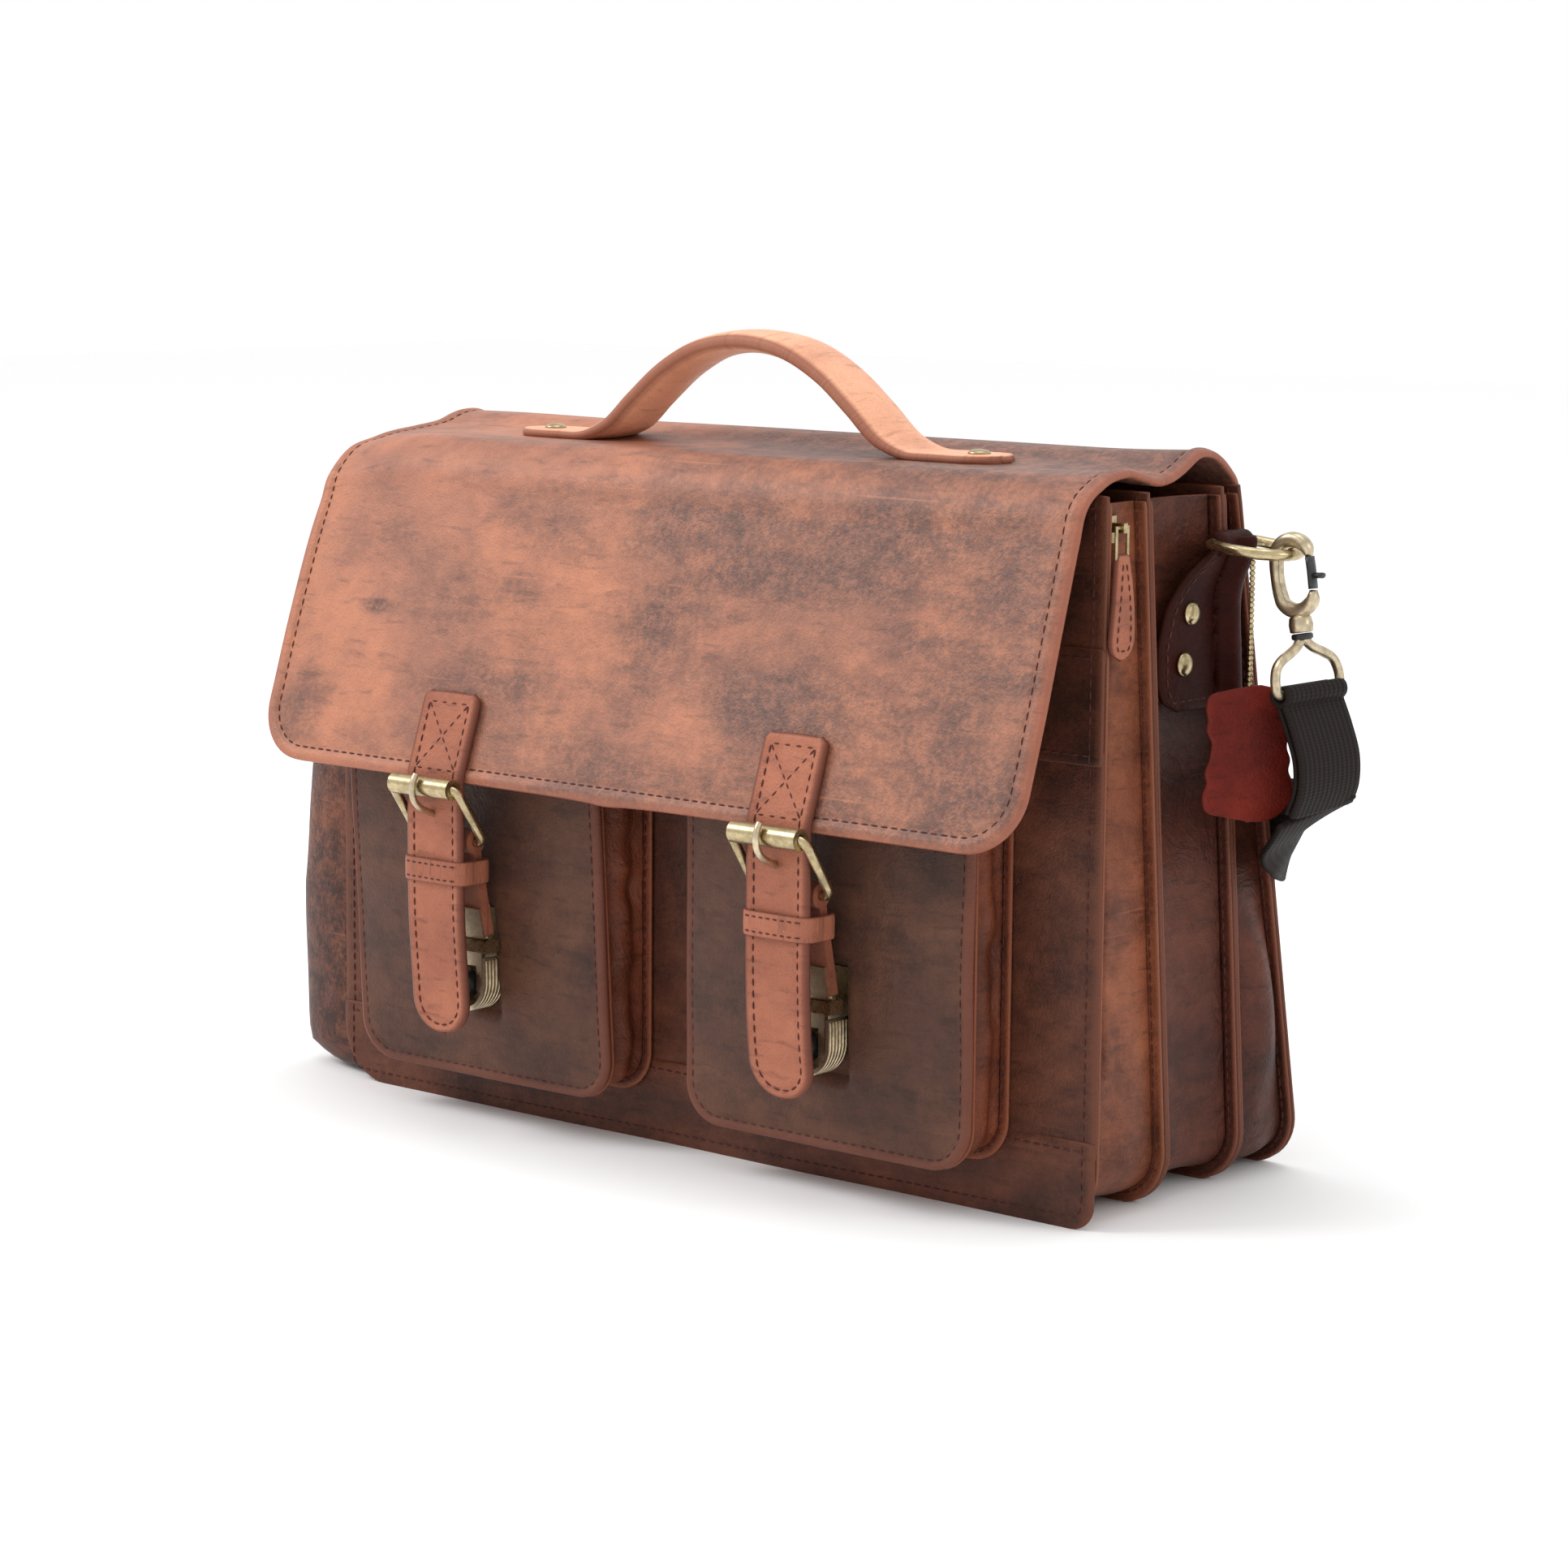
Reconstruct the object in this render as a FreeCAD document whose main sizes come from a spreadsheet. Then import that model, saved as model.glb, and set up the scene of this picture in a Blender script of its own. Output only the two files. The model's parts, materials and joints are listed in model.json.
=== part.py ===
import FreeCAD, Part
import Sketcher
import math
import os
import re

# Leather briefcase, millimetres. Origin on the floor under the middle of the whole piece,
# hanging closures included: X runs to the right seen from the front, Y to the back, Z up.
doc = FreeCAD.newDocument("leather_briefcase")
sheet = doc.addObject("Spreadsheet::Sheet", "Sizes")

SIZES = (
    # case: four panels joined by three U-shaped gussets
    ("panel_width", 400), ("leather", 2), ("corner_radius", 22),
    ("back_height", 279), ("front_drop", 5), ("divider_drop", 4), ("gusset_drop", 8),
    ("case_depth", 140), ("case_shift", 35.4), ("front_bay", 48), ("middle_bay", 98),
    ("front_bay_top", 25), ("middle_bay_top", 73), ("back_top", 84),
    ("ridge", 5), ("gusset_leather", 1.8), ("flange", 1.4),
    # bands of the front panel
    ("base_band", 32), ("middle_band_low", 176), ("middle_band_high", 218),
    # zip let into the right end of the front gusset
    ("zip_low", 57), ("zip_drop", 11), ("zip_slot", 7.6), ("zip_setback", 7.8),
    ("tape_leather", 0.8), ("tape_rear", 8), ("coil_width", 2.2), ("coil_thick", 2), ("zip_gap", 0.8),
    ("slider_width", 7), ("slider_long", 10), ("slider_plate", 1.4), ("slider_post", 0.5),
    ("pull_stand", 1.9), ("pull_width", 13), ("pull_long", 39), ("pull_thick", 2.6),
    ("link_wire", 1.4), ("link_width", 7), ("link_long", 12.5), ("bridge_width", 2.4),
    ("running_gap", 0.08),
    # two box pockets on the front
    ("pocket_pitch", 182), ("pocket_width", 140), ("pocket_low", 20), ("pocket_high", 166),
    ("pocket_depth", 26), ("pocket_ridge", 3), ("pocket_radius", 16),
    # flap
    ("flap_inset", 3), ("flap_thick", 3), ("flap_reach", 7), ("fold_gap", 2), ("flap_foot", 146.08),
    ("flap_stand", 1.44), ("flap_radius", 22),
    # handle
    ("handle_width", 25), ("handle_thick", 8), ("handle_rise", 40), ("handle_foot", 72),
    ("handle_end", 125), ("tab_thick", 4), ("handle_gap", 0.2), ("rivet_radius", 4.5),
    ("rivet_high", 1.6),
    # closures: flap strap, tongue, buckle, keeper, chape and push lock
    ("strap_width", 28), ("strap_thick", 3.2), ("strap_high", 35), ("strap_stand", 26.4),
    ("tongue_low", 44), ("tongue_high", 150), ("hole_low", 127), ("hole_high", 138.5), ("hole_width", 6),
    ("wire", 4), ("frame_gap", 4.8), ("roller_stand", 8.2), ("roller_z", 145), ("roller_radius", 4.25),
    ("roller_over", 2.5), ("heel_stand", 7.4), ("heel_z", 122), ("prong_wire", 2.8), ("prong_eye", 4.2),
    ("prong_eye_radius", 3.6), ("prong_slot", 6.4),
    ("chape_thick", 4), ("chape_long", 40), ("chape_tilt", 12), ("chape_roll", 5),
    ("keeper_z", 110), ("keeper_high", 10), ("keeper_thick", 1.8), ("keeper_room", 17.6), ("keeper_gap", 1.6),
    ("lock_half", 13), ("lock_low", 50), ("lock_high", 92), ("lock_plate", 1.4), ("lock_depth", 13),
    ("lock_wall", 1.5), ("lock_wall_high", 73), ("button_radius", 6), ("button_z", 61),
    ("button_travel", 1.5), ("button_thick", 5), ("stem_radius", 2.2),
    ("fork_half", 6.9), ("fork_out", 10), ("fork_low", 58.5), ("fork_thick", 2), ("fork_gap", 2),
    ("collar_z", 78), ("collar_high", 5), ("collar_half", 15), ("collar_thick", 1.4),
    ("clamp_long", 13), ("clamp_sheet", 1.2),
    # strap hardware on each end
    ("ring_stand", 6), ("ring_drop", 25), ("ring_set", 2.91), ("ring_wire", 4.4), ("ring_half", 15),
    ("ring_side", 13), ("ring_tilt", 6), ("loop_half", 11.5), ("loop_radius", 4.9),
    ("tab_leaf", 2.6), ("tab_front", 33), ("tab_long", 60), ("tab_drop", 2), ("tab_cover", 3),
    ("hook_thick", 6), ("hook_wide", 20), ("hook_tall", 33), ("hook_opening", 11), ("hook_open_tall", 20),
    ("hook_gate_tall", 12), ("gate_thick", 2.6),
    ("collar_radius", 4.6), ("stem_long", 7), ("eye_drop", 22), ("eye_half", 21.5), ("eye_wire", 4), ("eye_side", 7),
    ("hook_swing", 10), ("pin_radius", 1.6),
    ("webbing_width", 38), ("webbing_thick", 2.4), ("webbing_gap", 2.4), ("strap_hang", 135.5), ("strap_gap", 10.8),
    # tag on its ball chain
    ("chain_out", 19.3), ("chain_set", 13.6), ("chain_drop", 5.4), ("chain_ball", 2.2), ("chain_long", 48),
    ("tag_width", 34), ("tag_long", 50), ("tag_thick", 2.2), ("tag_turn", 56),
)
for row, (word, number) in enumerate(SIZES, start=1):
    sheet.set(f"A{row}", word)
    sheet.set(f"B{row}", str(number))
    sheet.setAlias(f"B{row}", word)
doc.recompute()

# what follows from those sizes: each line fits one piece to another with a named clearance
FOLLOWS = (
    ("case_front", "case_shift - case_depth/2"),
    ("front_height", "back_height - front_drop"), ("divider_height", "back_height - divider_drop"),
    ("gusset_top", "back_height - gusset_drop"), ("zip_high", "back_height - zip_drop"),
    ("pull_offset", "panel_width/2 + pull_stand"),
    ("pocket_face", "case_front - pocket_depth"),
    ("flap_width", "panel_width - 2*flap_inset"), ("flap_level", "back_height"),
    ("flap_back", "case_front + back_top"), ("flap_crease", "case_front - flap_reach"),
    ("strap_plane", "pocket_face - strap_stand"), ("flap_out", "flap_crease - strap_plane - flap_stand"),
    ("flap_drop", "sqrt(flap_out^2 + (flap_level - flap_foot)^2)"),
    ("flap_slope", "atan(flap_out/(flap_level - flap_foot))"),
    ("frame_half", "strap_width/2 + frame_gap"), ("roller_long", "strap_width + 2*roller_over"),
    ("roller_y", "strap_plane - roller_stand"), ("heel_y", "strap_plane + heel_stand"),
    ("keeper_half", "strap_width/2 + keeper_gap"),
    ("ring_axis", "panel_width/2 + ring_stand"), ("ring_z", "back_height - ring_drop"),
    ("ring_y", "case_front + middle_bay - (middle_bay - middle_bay_top)/divider_height*ring_z - ring_set"),
    ("tab_high", "ring_z - tab_drop"), ("tab_low", "tab_high - tab_long"),
    ("strap_run_y", "case_front + case_depth + strap_gap"
     " - (case_depth - leather - back_top)/divider_height*(ring_z - strap_hang)"),
    ("chain_x", "ring_axis + chain_out"), ("chain_y", "ring_y - chain_set"), ("chain_top", "ring_z - chain_drop"),
)
places = doc.addObject("Spreadsheet::Sheet", "Places")
WORDS = sorted((word for word, _ in SIZES + FOLLOWS), key=len, reverse=True)
PATTERN = re.compile(r"\b(" + "|".join(WORDS) + r")\b")
PLACED = {word for word, _ in FOLLOWS}


def formula(text):
    """A formula in the sheets' words, as an expression."""
    return PATTERN.sub(lambda found: ("Places." if found[1] in PLACED else "Sizes.") + found[1], str(text))


def size(word):
    """The number held under a word."""
    value = (places if word in PLACED else sheet).get(word)
    return float(getattr(value, "Value", value))


for row, (word, text) in enumerate(FOLLOWS, start=1):
    places.set(f"A{row}", word)
    places.set(f"B{row}", "=" + formula(text).replace("Places.", ""))
    places.setAlias(f"B{row}", word)
doc.recompute()


def bind(item, **values):
    """Tie an object's properties to formulas."""
    for name, text in values.items():
        item.setExpression(name, formula(text))


def place(item, at, axis=None, angle=None):
    """Tie an object's position, and its turn about an axis, to formulas."""
    if axis:
        item.Placement = FreeCAD.Placement(FreeCAD.Vector(), FreeCAD.Rotation(FreeCAD.Vector(*axis), 1))
        item.setExpression("Placement.Rotation.Angle", formula(angle))
    for name, text in zip("xyz", at):
        item.setExpression(f"Placement.Base.{name}", formula(text))
    return item


def block(label, at, along):
    """A box from its low corner."""
    item = doc.addObject("Part::Box", label)
    item.Label = label
    bind(item, Length=along[0], Width=along[1], Height=along[2])
    return place(item, at)


TURN = {"x": ((0, 1, 0), 90), "y": ((1, 0, 0), -90), "z": (None, None)}


def rod(label, at, radius, long, way="z"):
    """A cylinder that starts at a point and runs along +x, +y or +z."""
    item = doc.addObject("Part::Cylinder", label)
    item.Label = label
    bind(item, Radius=radius, Height=long)
    axis, angle = TURN[way]
    return place(item, at, axis, angle)


def join(label, *items):
    """Several solids fused into one."""
    item = doc.addObject("Part::MultiFuse", label)
    item.Label = label
    item.Shapes = list(items)
    item.Refine = True
    return item


def cut(label, base, tool):
    """One solid with another taken away."""
    item = doc.addObject("Part::Cut", label)
    item.Label = label
    item.Base, item.Tool = base, tool
    item.Refine = True
    return item


def meet(label, one, other):
    """What two solids share."""
    item = doc.addObject("Part::Common", label)
    item.Label = label
    item.Base, item.Tool = one, other
    return item


def mirrored(label, source):
    """The left-hand twin of a right-hand piece."""
    item = doc.addObject("Part::Mirroring", label)
    item.Label = label
    item.Source = source
    item.Normal = FreeCAD.Vector(1, 0, 0)
    return item


def corner_edges(shape, normal, spots):
    """Names of the edges that run along the normal through the given corners."""
    names = []
    for number, edge in enumerate(shape.Edges, start=1):
        ends = [v.Point for v in edge.Vertexes]
        if len(ends) != 2 or abs((ends[1] - ends[0]).normalize().dot(normal)) < 0.99:
            continue
        flat = ends[0] - normal * ends[0].dot(normal)
        if any((flat - spot).Length < 0.01 for spot in spots):
            names.append(f"Edge{number}")
    return names


PLANES = {
    "XZ_Plane": (FreeCAD.Vector(1, 0, 0), FreeCAD.Vector(0, 0, 1), FreeCAD.Vector(0, 1, 0)),
    "YZ_Plane": (FreeCAD.Vector(0, 1, 0), FreeCAD.Vector(0, 0, 1), FreeCAD.Vector(1, 0, 0)),
    "XY_Plane": (FreeCAD.Vector(1, 0, 0), FreeCAD.Vector(0, 1, 0), FreeCAD.Vector(0, 0, 1)),
}


def cut_piece(label, plane, wide, high, thick, corners="", radius=None):
    """A flat piece as it is cut out: a rectangle padded to its thickness, some corners rounded.

    The rectangle starts at the body's origin; corners a, b, c, d go round from there.
    """
    body = doc.addObject("PartDesign::Body", label)
    body.Label = label
    face = next(f for f in body.Origin.OriginFeatures if f.Role == plane)
    sketch = body.newObject("Sketcher::SketchObject", label + "_outline")
    sketch.AttachmentSupport = [(face, "")]
    sketch.MapMode = "FlatFace"
    spots = [(0, 0), (10, 0), (10, 10), (0, 10)]
    for start, end in zip(spots, spots[1:] + spots[:1]):
        line = Part.LineSegment(FreeCAD.Vector(*start, 0), FreeCAD.Vector(*end, 0))
        sketch.addGeometry(line, False)
    for side in range(4):
        sketch.addConstraint(Sketcher.Constraint("Coincident", side, 2, (side + 1) % 4, 1))
    for side, way in enumerate(("Horizontal", "Vertical", "Horizontal", "Vertical")):
        sketch.addConstraint(Sketcher.Constraint(way, side))
    sketch.addConstraint(Sketcher.Constraint("Coincident", 0, 1, -1, 1))
    for line, kind, text in ((0, "DistanceX", wide), (1, "DistanceY", high)):
        number = sketch.addConstraint(Sketcher.Constraint(kind, line, 1, line, 2, 10))
        sketch.renameConstraint(number, kind.lower())
        sketch.setExpression(f"Constraints.{kind.lower()}", formula(text))
    pad = body.newObject("PartDesign::Pad", label + "_pad")
    pad.Profile = sketch
    pad.Reversed = plane == "XZ_Plane"
    bind(pad, Length=thick)
    body.Tip = pad
    doc.recompute()
    if corners:
        across, up, normal = PLANES[plane]
        box = body.Shape.BoundBox
        reach = FreeCAD.Vector(box.XMax, box.YMax, box.ZMax)
        far, top = across * reach.dot(across), up * reach.dot(up)
        spots = {"a": far * 0, "b": far, "c": far + top, "d": top}
        fillet = body.newObject("PartDesign::Fillet", label + "_round")
        names = corner_edges(pad.Shape, normal, [spots[c] for c in corners])
        fillet.Base = (pad, names)
        bind(fillet, Radius=radius)
        body.Tip = fillet
    return body


NODES = []


def node(item):
    """Mark an object as a finished sub-part, to be written under its label."""
    NODES.append(item)
    return item


# --- case: panels -------------------------------------------------------------------------
FRONT = "case_front"
FIRST = f"({FRONT} + front_bay)"
SECOND = f"({FRONT} + middle_bay)"
REAR = f"({FRONT} + case_depth - leather)"
LEAN = {
    FIRST: "(front_bay - front_bay_top)/divider_height",
    SECOND: "(middle_bay - middle_bay_top)/divider_height",
    REAR: "(case_depth - leather - back_top)/divider_height",
}


def outline(label, start, high, thick, offset="0"):
    """A panel outline standing at its lean, offset backward from the panel's front face."""
    body = cut_piece(label, "XZ_Plane", "panel_width", high, thick, "ab", "corner_radius")
    lean = LEAN.get(start)
    if not lean:
        return place(body, ("-panel_width/2", f"{start} + {offset}", "0"))
    back = f"{start} + ({offset})/cos(atan({lean}))"
    return place(body, ("-panel_width/2", back, "0"), (1, 0, 0), f"atan({lean})")


def front_panels():
    """Four overlapping leather bands sewn edge to edge make the front."""
    whole = outline("front_outline", FRONT, "front_height", "leather")
    levels = ("-1", "base_band", "middle_band_low", "middle_band_high", "front_height + 1")
    names = ("front_base_band", "front_panel", "front_middle_band", "front_top_band")
    for label, low, high in zip(names, levels, levels[1:]):
        span = block(label + "_span", ("-panel_width", f"{FRONT} - 1", low),
                     ("2*panel_width", "leather + 2", f"{high} - ({low})"))
        node(meet(label, whole, span))


def upright_panels():
    """Two dividers and the back panel."""
    node(outline("divider_front", FIRST, "divider_height", "leather"))
    node(outline("divider_rear", SECOND, "divider_height", "leather"))
    node(outline("back_panel", REAR, "back_height", "leather"))


def trough(label, wide, low, high, radius, skin, back, deep):
    """A U-shaped skin of leather, seen from the front, running the given depth."""
    outer = cut_piece(label + "_outer", "XZ_Plane", wide, f"{high} - ({low})", deep, "ab", radius)
    place(outer, (f"-({wide})/2", back, low))
    inner = cut_piece(label + "_inner", "XZ_Plane", f"{wide} - 2*{skin}", f"{high} - ({low}) + 5",
                      f"{deep} + 2", "ab", f"{radius} - {skin}")
    place(inner, (f"-({wide})/2 + {skin}", f"{back} - 1", f"{low} + {skin}"))
    return outer, cut(label + "_skin", outer, inner)


def gusset(label, start, end):
    """The U-shaped wall between two panels, its edges turned out and sewn to them as ridges."""
    full, skin = trough(label + "_trough", "(panel_width - 2*ridge)", "ridge", "gusset_top",
                        "(corner_radius - ridge)", "gusset_leather", "-case_depth", "2*case_depth")
    lean_a, lean_b = LEAN.get(start, "0"), LEAN[end]
    near = f"({start} + leather/cos(atan({lean_a})))"
    span = doc.addObject("Part::Wedge", label + "_span")
    bind(span, Xmin="-panel_width", Xmax="panel_width", X2min="-panel_width", X2max="panel_width",
         Ymin="0", Ymax="divider_height", Zmin=f"-{end}", Zmax=f"-{near}",
         Z2min=f"-({end} - divider_height*{lean_b})", Z2max=f"-({near} - divider_height*{lean_a})")
    span.Placement = FreeCAD.Placement(FreeCAD.Vector(), FreeCAD.Rotation(FreeCAD.Vector(1, 0, 0), 90))
    wall = meet(label + "_wall", skin, span)
    first = cut(label + "_flange_a", outline(label + "_edge_a", start, "gusset_top", "flange", "leather"), full)
    second = cut(label + "_flange_b", outline(label + "_edge_b", end, "gusset_top", "flange", "-flange"), full)
    return wall, first, second


ZIP_Y = f"({FRONT} + zip_setback)"
SKIN_OUT = "(panel_width/2 - ridge)"
SKIN_IN = "(panel_width/2 - ridge - gusset_leather)"


def gussets():
    """Three gussets; the front one has the zip's slot in its right end."""
    wall, first, second = gusset("gusset_front", FRONT, FIRST)
    slot = block("zip_slot_cut", (f"{SKIN_IN} - 3", f"{ZIP_Y} - zip_slot/2", "zip_low"),
                 ("12", "zip_slot", "zip_high - zip_low"))
    open_wall = cut("gusset_front_open", wall, slot)
    node(join("gusset_front", open_wall, first, second))
    node(join("gusset_middle", *gusset("gusset_middle", FIRST, SECOND)))
    node(join("gusset_rear", *gusset("gusset_rear", SECOND, REAR)))


# --- zip ----------------------------------------------------------------------------------
def zip_parts():
    """Two tapes behind the slot, two rows of coil, a slider round both and its pull."""
    tape_x = f"{SKIN_IN} - tape_leather"
    low, tall = "zip_low - 6", "zip_high - zip_low + 8"
    front = block("zip_tape_front", (tape_x, f"{FRONT} + leather + flange", low),
                  ("tape_leather", "zip_setback - leather - flange - zip_gap/2", tall))
    rear = block("zip_tape_rear", (tape_x, f"{ZIP_Y} + zip_gap/2", low), ("tape_leather", "tape_rear", tall))
    node(pair("zip_tapes", front, rear))
    rows = [block(f"zip_row_{name}", (SKIN_IN, y, "zip_low"), ("coil_thick", "coil_width", "zip_high - zip_low"))
            for name, y in (("front", f"{ZIP_Y} - zip_gap/2 - coil_width"), ("rear", f"{ZIP_Y} + zip_gap/2"))]
    node(pair("zip_coil", *rows))
    top_x = f"({SKIN_IN} + coil_thick + 0.2)"
    low_x = f"({tape_x} - 0.2 - slider_plate)"
    low_z = "zip_high - slider_long - 1"
    plates = [block(f"slider_plate_{name}", (x, f"{ZIP_Y} - slider_width/2", low_z),
                    ("slider_plate", "slider_width", "slider_long")) for name, x in (("out", top_x), ("in", low_x))]
    post = block("slider_post", (low_x, f"{ZIP_Y} - slider_post/2", "zip_high - 4.5"),
                 (f"{top_x} - {low_x} + slider_plate", "slider_post", "3"))
    bridge = block("slider_bridge", (top_x, f"{ZIP_Y} - bridge_width/2", f"{HINGE_Z} - 1.9"),
                   (f"pull_offset + 1.6 - {top_x}", "bridge_width", "3.6"))
    bore = rod("slider_bore", ("pull_offset", f"{ZIP_Y} - 6", HINGE_Z), "link_wire/2 + running_gap", "12", "y")
    node(cut("zip_slider", join("slider_solid", *plates, post, bridge), bore))


HINGE_Z = "(zip_high - 5)"


def pair(label, *items):
    """Separate solids kept together under one name."""
    item = doc.addObject("Part::Compound", label)
    item.Label = label
    item.Links = list(items)
    return item


def zip_pull():
    """A wire link through the slider's bridge, with a leather tab on its lower bar."""
    half = "link_width/2"
    bars = [rod(f"link_bar_{name}", ("pull_offset", f"{ZIP_Y} - {half}", z), "link_wire/2", "link_width", "y")
            for name, z in (("top", HINGE_Z), ("low", f"{HINGE_Z} - link_long"))]
    sides = [rod(f"link_side_{name}", ("pull_offset", y, f"{HINGE_Z} - link_long - link_wire/2"), "link_wire/2",
                 "link_long + link_wire", "z")
             for name, y in (("a", f"{ZIP_Y} - {half}"), ("b", f"{ZIP_Y} + {half}"))]
    node(join("zip_link", *bars, *sides))
    leaf = cut_piece("zip_pull_leaf", "YZ_Plane", "pull_width", "pull_long", "pull_thick", "abcd", "pull_width/2 - 0.4")
    place(leaf, ("pull_offset - pull_thick/2", f"{ZIP_Y} - pull_width/2",
                 f"{HINGE_Z} - link_long - pull_long + 3.4"))
    hole = block("pull_hole", ("pull_offset - 4", f"{ZIP_Y} - {half} - link_wire/2 - 0.1", f"{HINGE_Z} - link_long - 0.8"),
                 ("8", "link_width + link_wire + 0.2", "8"))
    neck = block("pull_neck", ("pull_offset - pull_thick/2", f"{ZIP_Y} - 2", f"{HINGE_Z} - link_long - 1.2"),
                 ("pull_thick", "4", "3.6"))
    bore = rod("pull_bore", ("pull_offset", f"{ZIP_Y} - 8", f"{HINGE_Z} - link_long"), "link_wire/2 + 0.05", "16", "y")
    node(cut("zip_pull", join("pull_solid", cut("pull_cut", leaf, hole), neck), bore))


# --- front pockets ------------------------------------------------------------------------
POCKET_FACE = "pocket_face"


def shifted(text, centre):
    """A formula moved sideways to a closure's centre line."""
    return f"({text}) + {centre}"


def pocket(name, centre):
    """A box pocket: a flat front and a U-shaped gusset with edges turned out front and back."""
    front = cut_piece(f"pocket_front_{name}", "XZ_Plane", "pocket_width", "pocket_high - pocket_low", "leather",
                      "ab", "pocket_radius")
    node(place(front, (shifted("-pocket_width/2", centre), POCKET_FACE, "pocket_low")))
    full = cut_piece(f"pocket_trough_{name}", "XZ_Plane", "pocket_width - 2*pocket_ridge",
                     "pocket_high - pocket_low", "pocket_depth + 2", "ab", "pocket_radius - pocket_ridge")
    place(full, (shifted("-pocket_width/2 + pocket_ridge", centre), f"{POCKET_FACE} - 1", "pocket_low + pocket_ridge"))
    wall = cut_piece(f"pocket_wall_{name}", "XZ_Plane", "pocket_width - 2*pocket_ridge",
                     "pocket_high - pocket_low - pocket_ridge", "pocket_depth - leather", "ab",
                     "pocket_radius - pocket_ridge")
    place(wall, (shifted("-pocket_width/2 + pocket_ridge", centre), f"{POCKET_FACE} + leather",
                 "pocket_low + pocket_ridge"))
    edges = []
    for part, y in (("front", f"{POCKET_FACE} + leather"), ("rear", f"{FRONT} - flange")):
        edge = cut_piece(f"pocket_edge_{part}_{name}", "XZ_Plane", "pocket_width",
                         "pocket_high - pocket_low", "flange", "ab", "pocket_radius")
        edges.append(place(edge, (shifted("-pocket_width/2", centre), y, "pocket_low")))
    hollow = cut_piece(f"pocket_hollow_{name}", "XZ_Plane", "pocket_width - 2*pocket_ridge - 2*gusset_leather",
                       "pocket_high", "pocket_depth + 2", "ab", "pocket_radius - pocket_ridge - gusset_leather")
    place(hollow, (shifted("-pocket_width/2 + pocket_ridge + gusset_leather", centre), f"{POCKET_FACE} - 1",
                   "pocket_low + pocket_ridge + gusset_leather"))
    node(cut(f"pocket_gusset_{name}", join(f"pocket_solid_{name}", wall, *edges), hollow))


# --- flap ---------------------------------------------------------------------------------
def flap():
    """The lid in two parts hinged at its front fold, the lower corners rounded."""
    top = cut_piece("flap_top", "XY_Plane", "flap_width", "flap_back - flap_crease - 2*fold_gap", "flap_thick")
    node(place(top, ("-flap_width/2", "flap_crease + fold_gap", "flap_level - flap_thick/2")))
    front = cut_piece("flap_front", "XZ_Plane", "flap_width", "flap_drop - fold_gap", "flap_thick", "ab", "flap_radius")
    node(hang(front, "-flap_width/2", "-flap_thick/2", "-flap_drop"))


def hang(item, x, y, z):
    """Set a piece in the sloping front of the flap: y and z from its fold, out of and down the slope."""
    at = (x, f"flap_crease + ({y})*cos(flap_slope) + ({z})*sin(flap_slope)",
          f"flap_level - ({y})*sin(flap_slope) + ({z})*cos(flap_slope)")
    return place(item, at, (1, 0, 0), "-flap_slope")


# --- handle -------------------------------------------------------------------------------
def handle():
    """A padded leather strap arched between two flat tabs, riveted to the top of the flap."""
    base = size("flap_level") + size("flap_thick") / 2
    foot, end, thick = size("handle_foot"), size("handle_end"), size("handle_thick")
    tab, rise, wide = size("tab_thick"), size("handle_rise"), size("handle_width")
    middle = (size("flap_back") + size("flap_crease")) / 2
    def curve(points):
        line = Part.BSplineCurve()
        line.interpolate([FreeCAD.Vector(x, 0, base + z) for x, z in points])
        return line.toShape()
    top = [(-foot - 12, tab), (-foot + 6, tab + 7), (-foot * 0.62, rise * 0.72 + thick * 0.5),
           (-foot * 0.3, rise + thick * 0.62), (0, rise + thick)]
    low = [(-foot + 2, 0), (-foot + 18, 9), (-foot * 0.56, rise * 0.62),
           (-foot * 0.27, rise * 0.93), (0, rise)]
    upper = curve(top + [(-x, z) for x, z in reversed(top[:-1])])
    lower = curve(low + [(-x, z) for x, z in reversed(low[:-1])])
    def at(x, z):
        return FreeCAD.Vector(x, 0, base + z)
    left = Part.makePolygon([at(-foot - 12, tab), at(-end, tab), at(-end, 0), at(-foot + 2, 0)])
    right = Part.makePolygon([at(foot - 2, 0), at(end, 0), at(end, tab), at(foot + 12, tab)])
    wire = Part.Wire(Part.sortEdges(left.Edges + [lower] + right.Edges + [upper])[0])
    solid = Part.Face(wire).extrude(FreeCAD.Vector(0, wide, 0))
    solid.translate(FreeCAD.Vector(0, middle - wide / 2, 0))
    ends = [e for e in solid.Edges if abs(abs(e.CenterOfMass.x) - end) < 0.01
            and abs(e.CenterOfMass.z - base - tab / 2) < 0.01]
    solid = solid.makeFillet(wide / 2 - 0.5, ends)
    item = doc.addObject("Part::Feature", "handle")
    item.Label = "handle"
    item.Shape = solid
    node(item)
    heads = []
    for name, side in (("l", "-1"), ("r", "1")):
        head = rod(f"handle_head_{name}", (f"{side}*(handle_end - 13)", "(flap_back + flap_crease)/2",
                   "flap_level + flap_thick/2 + tab_thick"), "rivet_radius", "rivet_high")
        heads.append(head)
    node(pair("handle_rivets", *heads))


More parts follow.
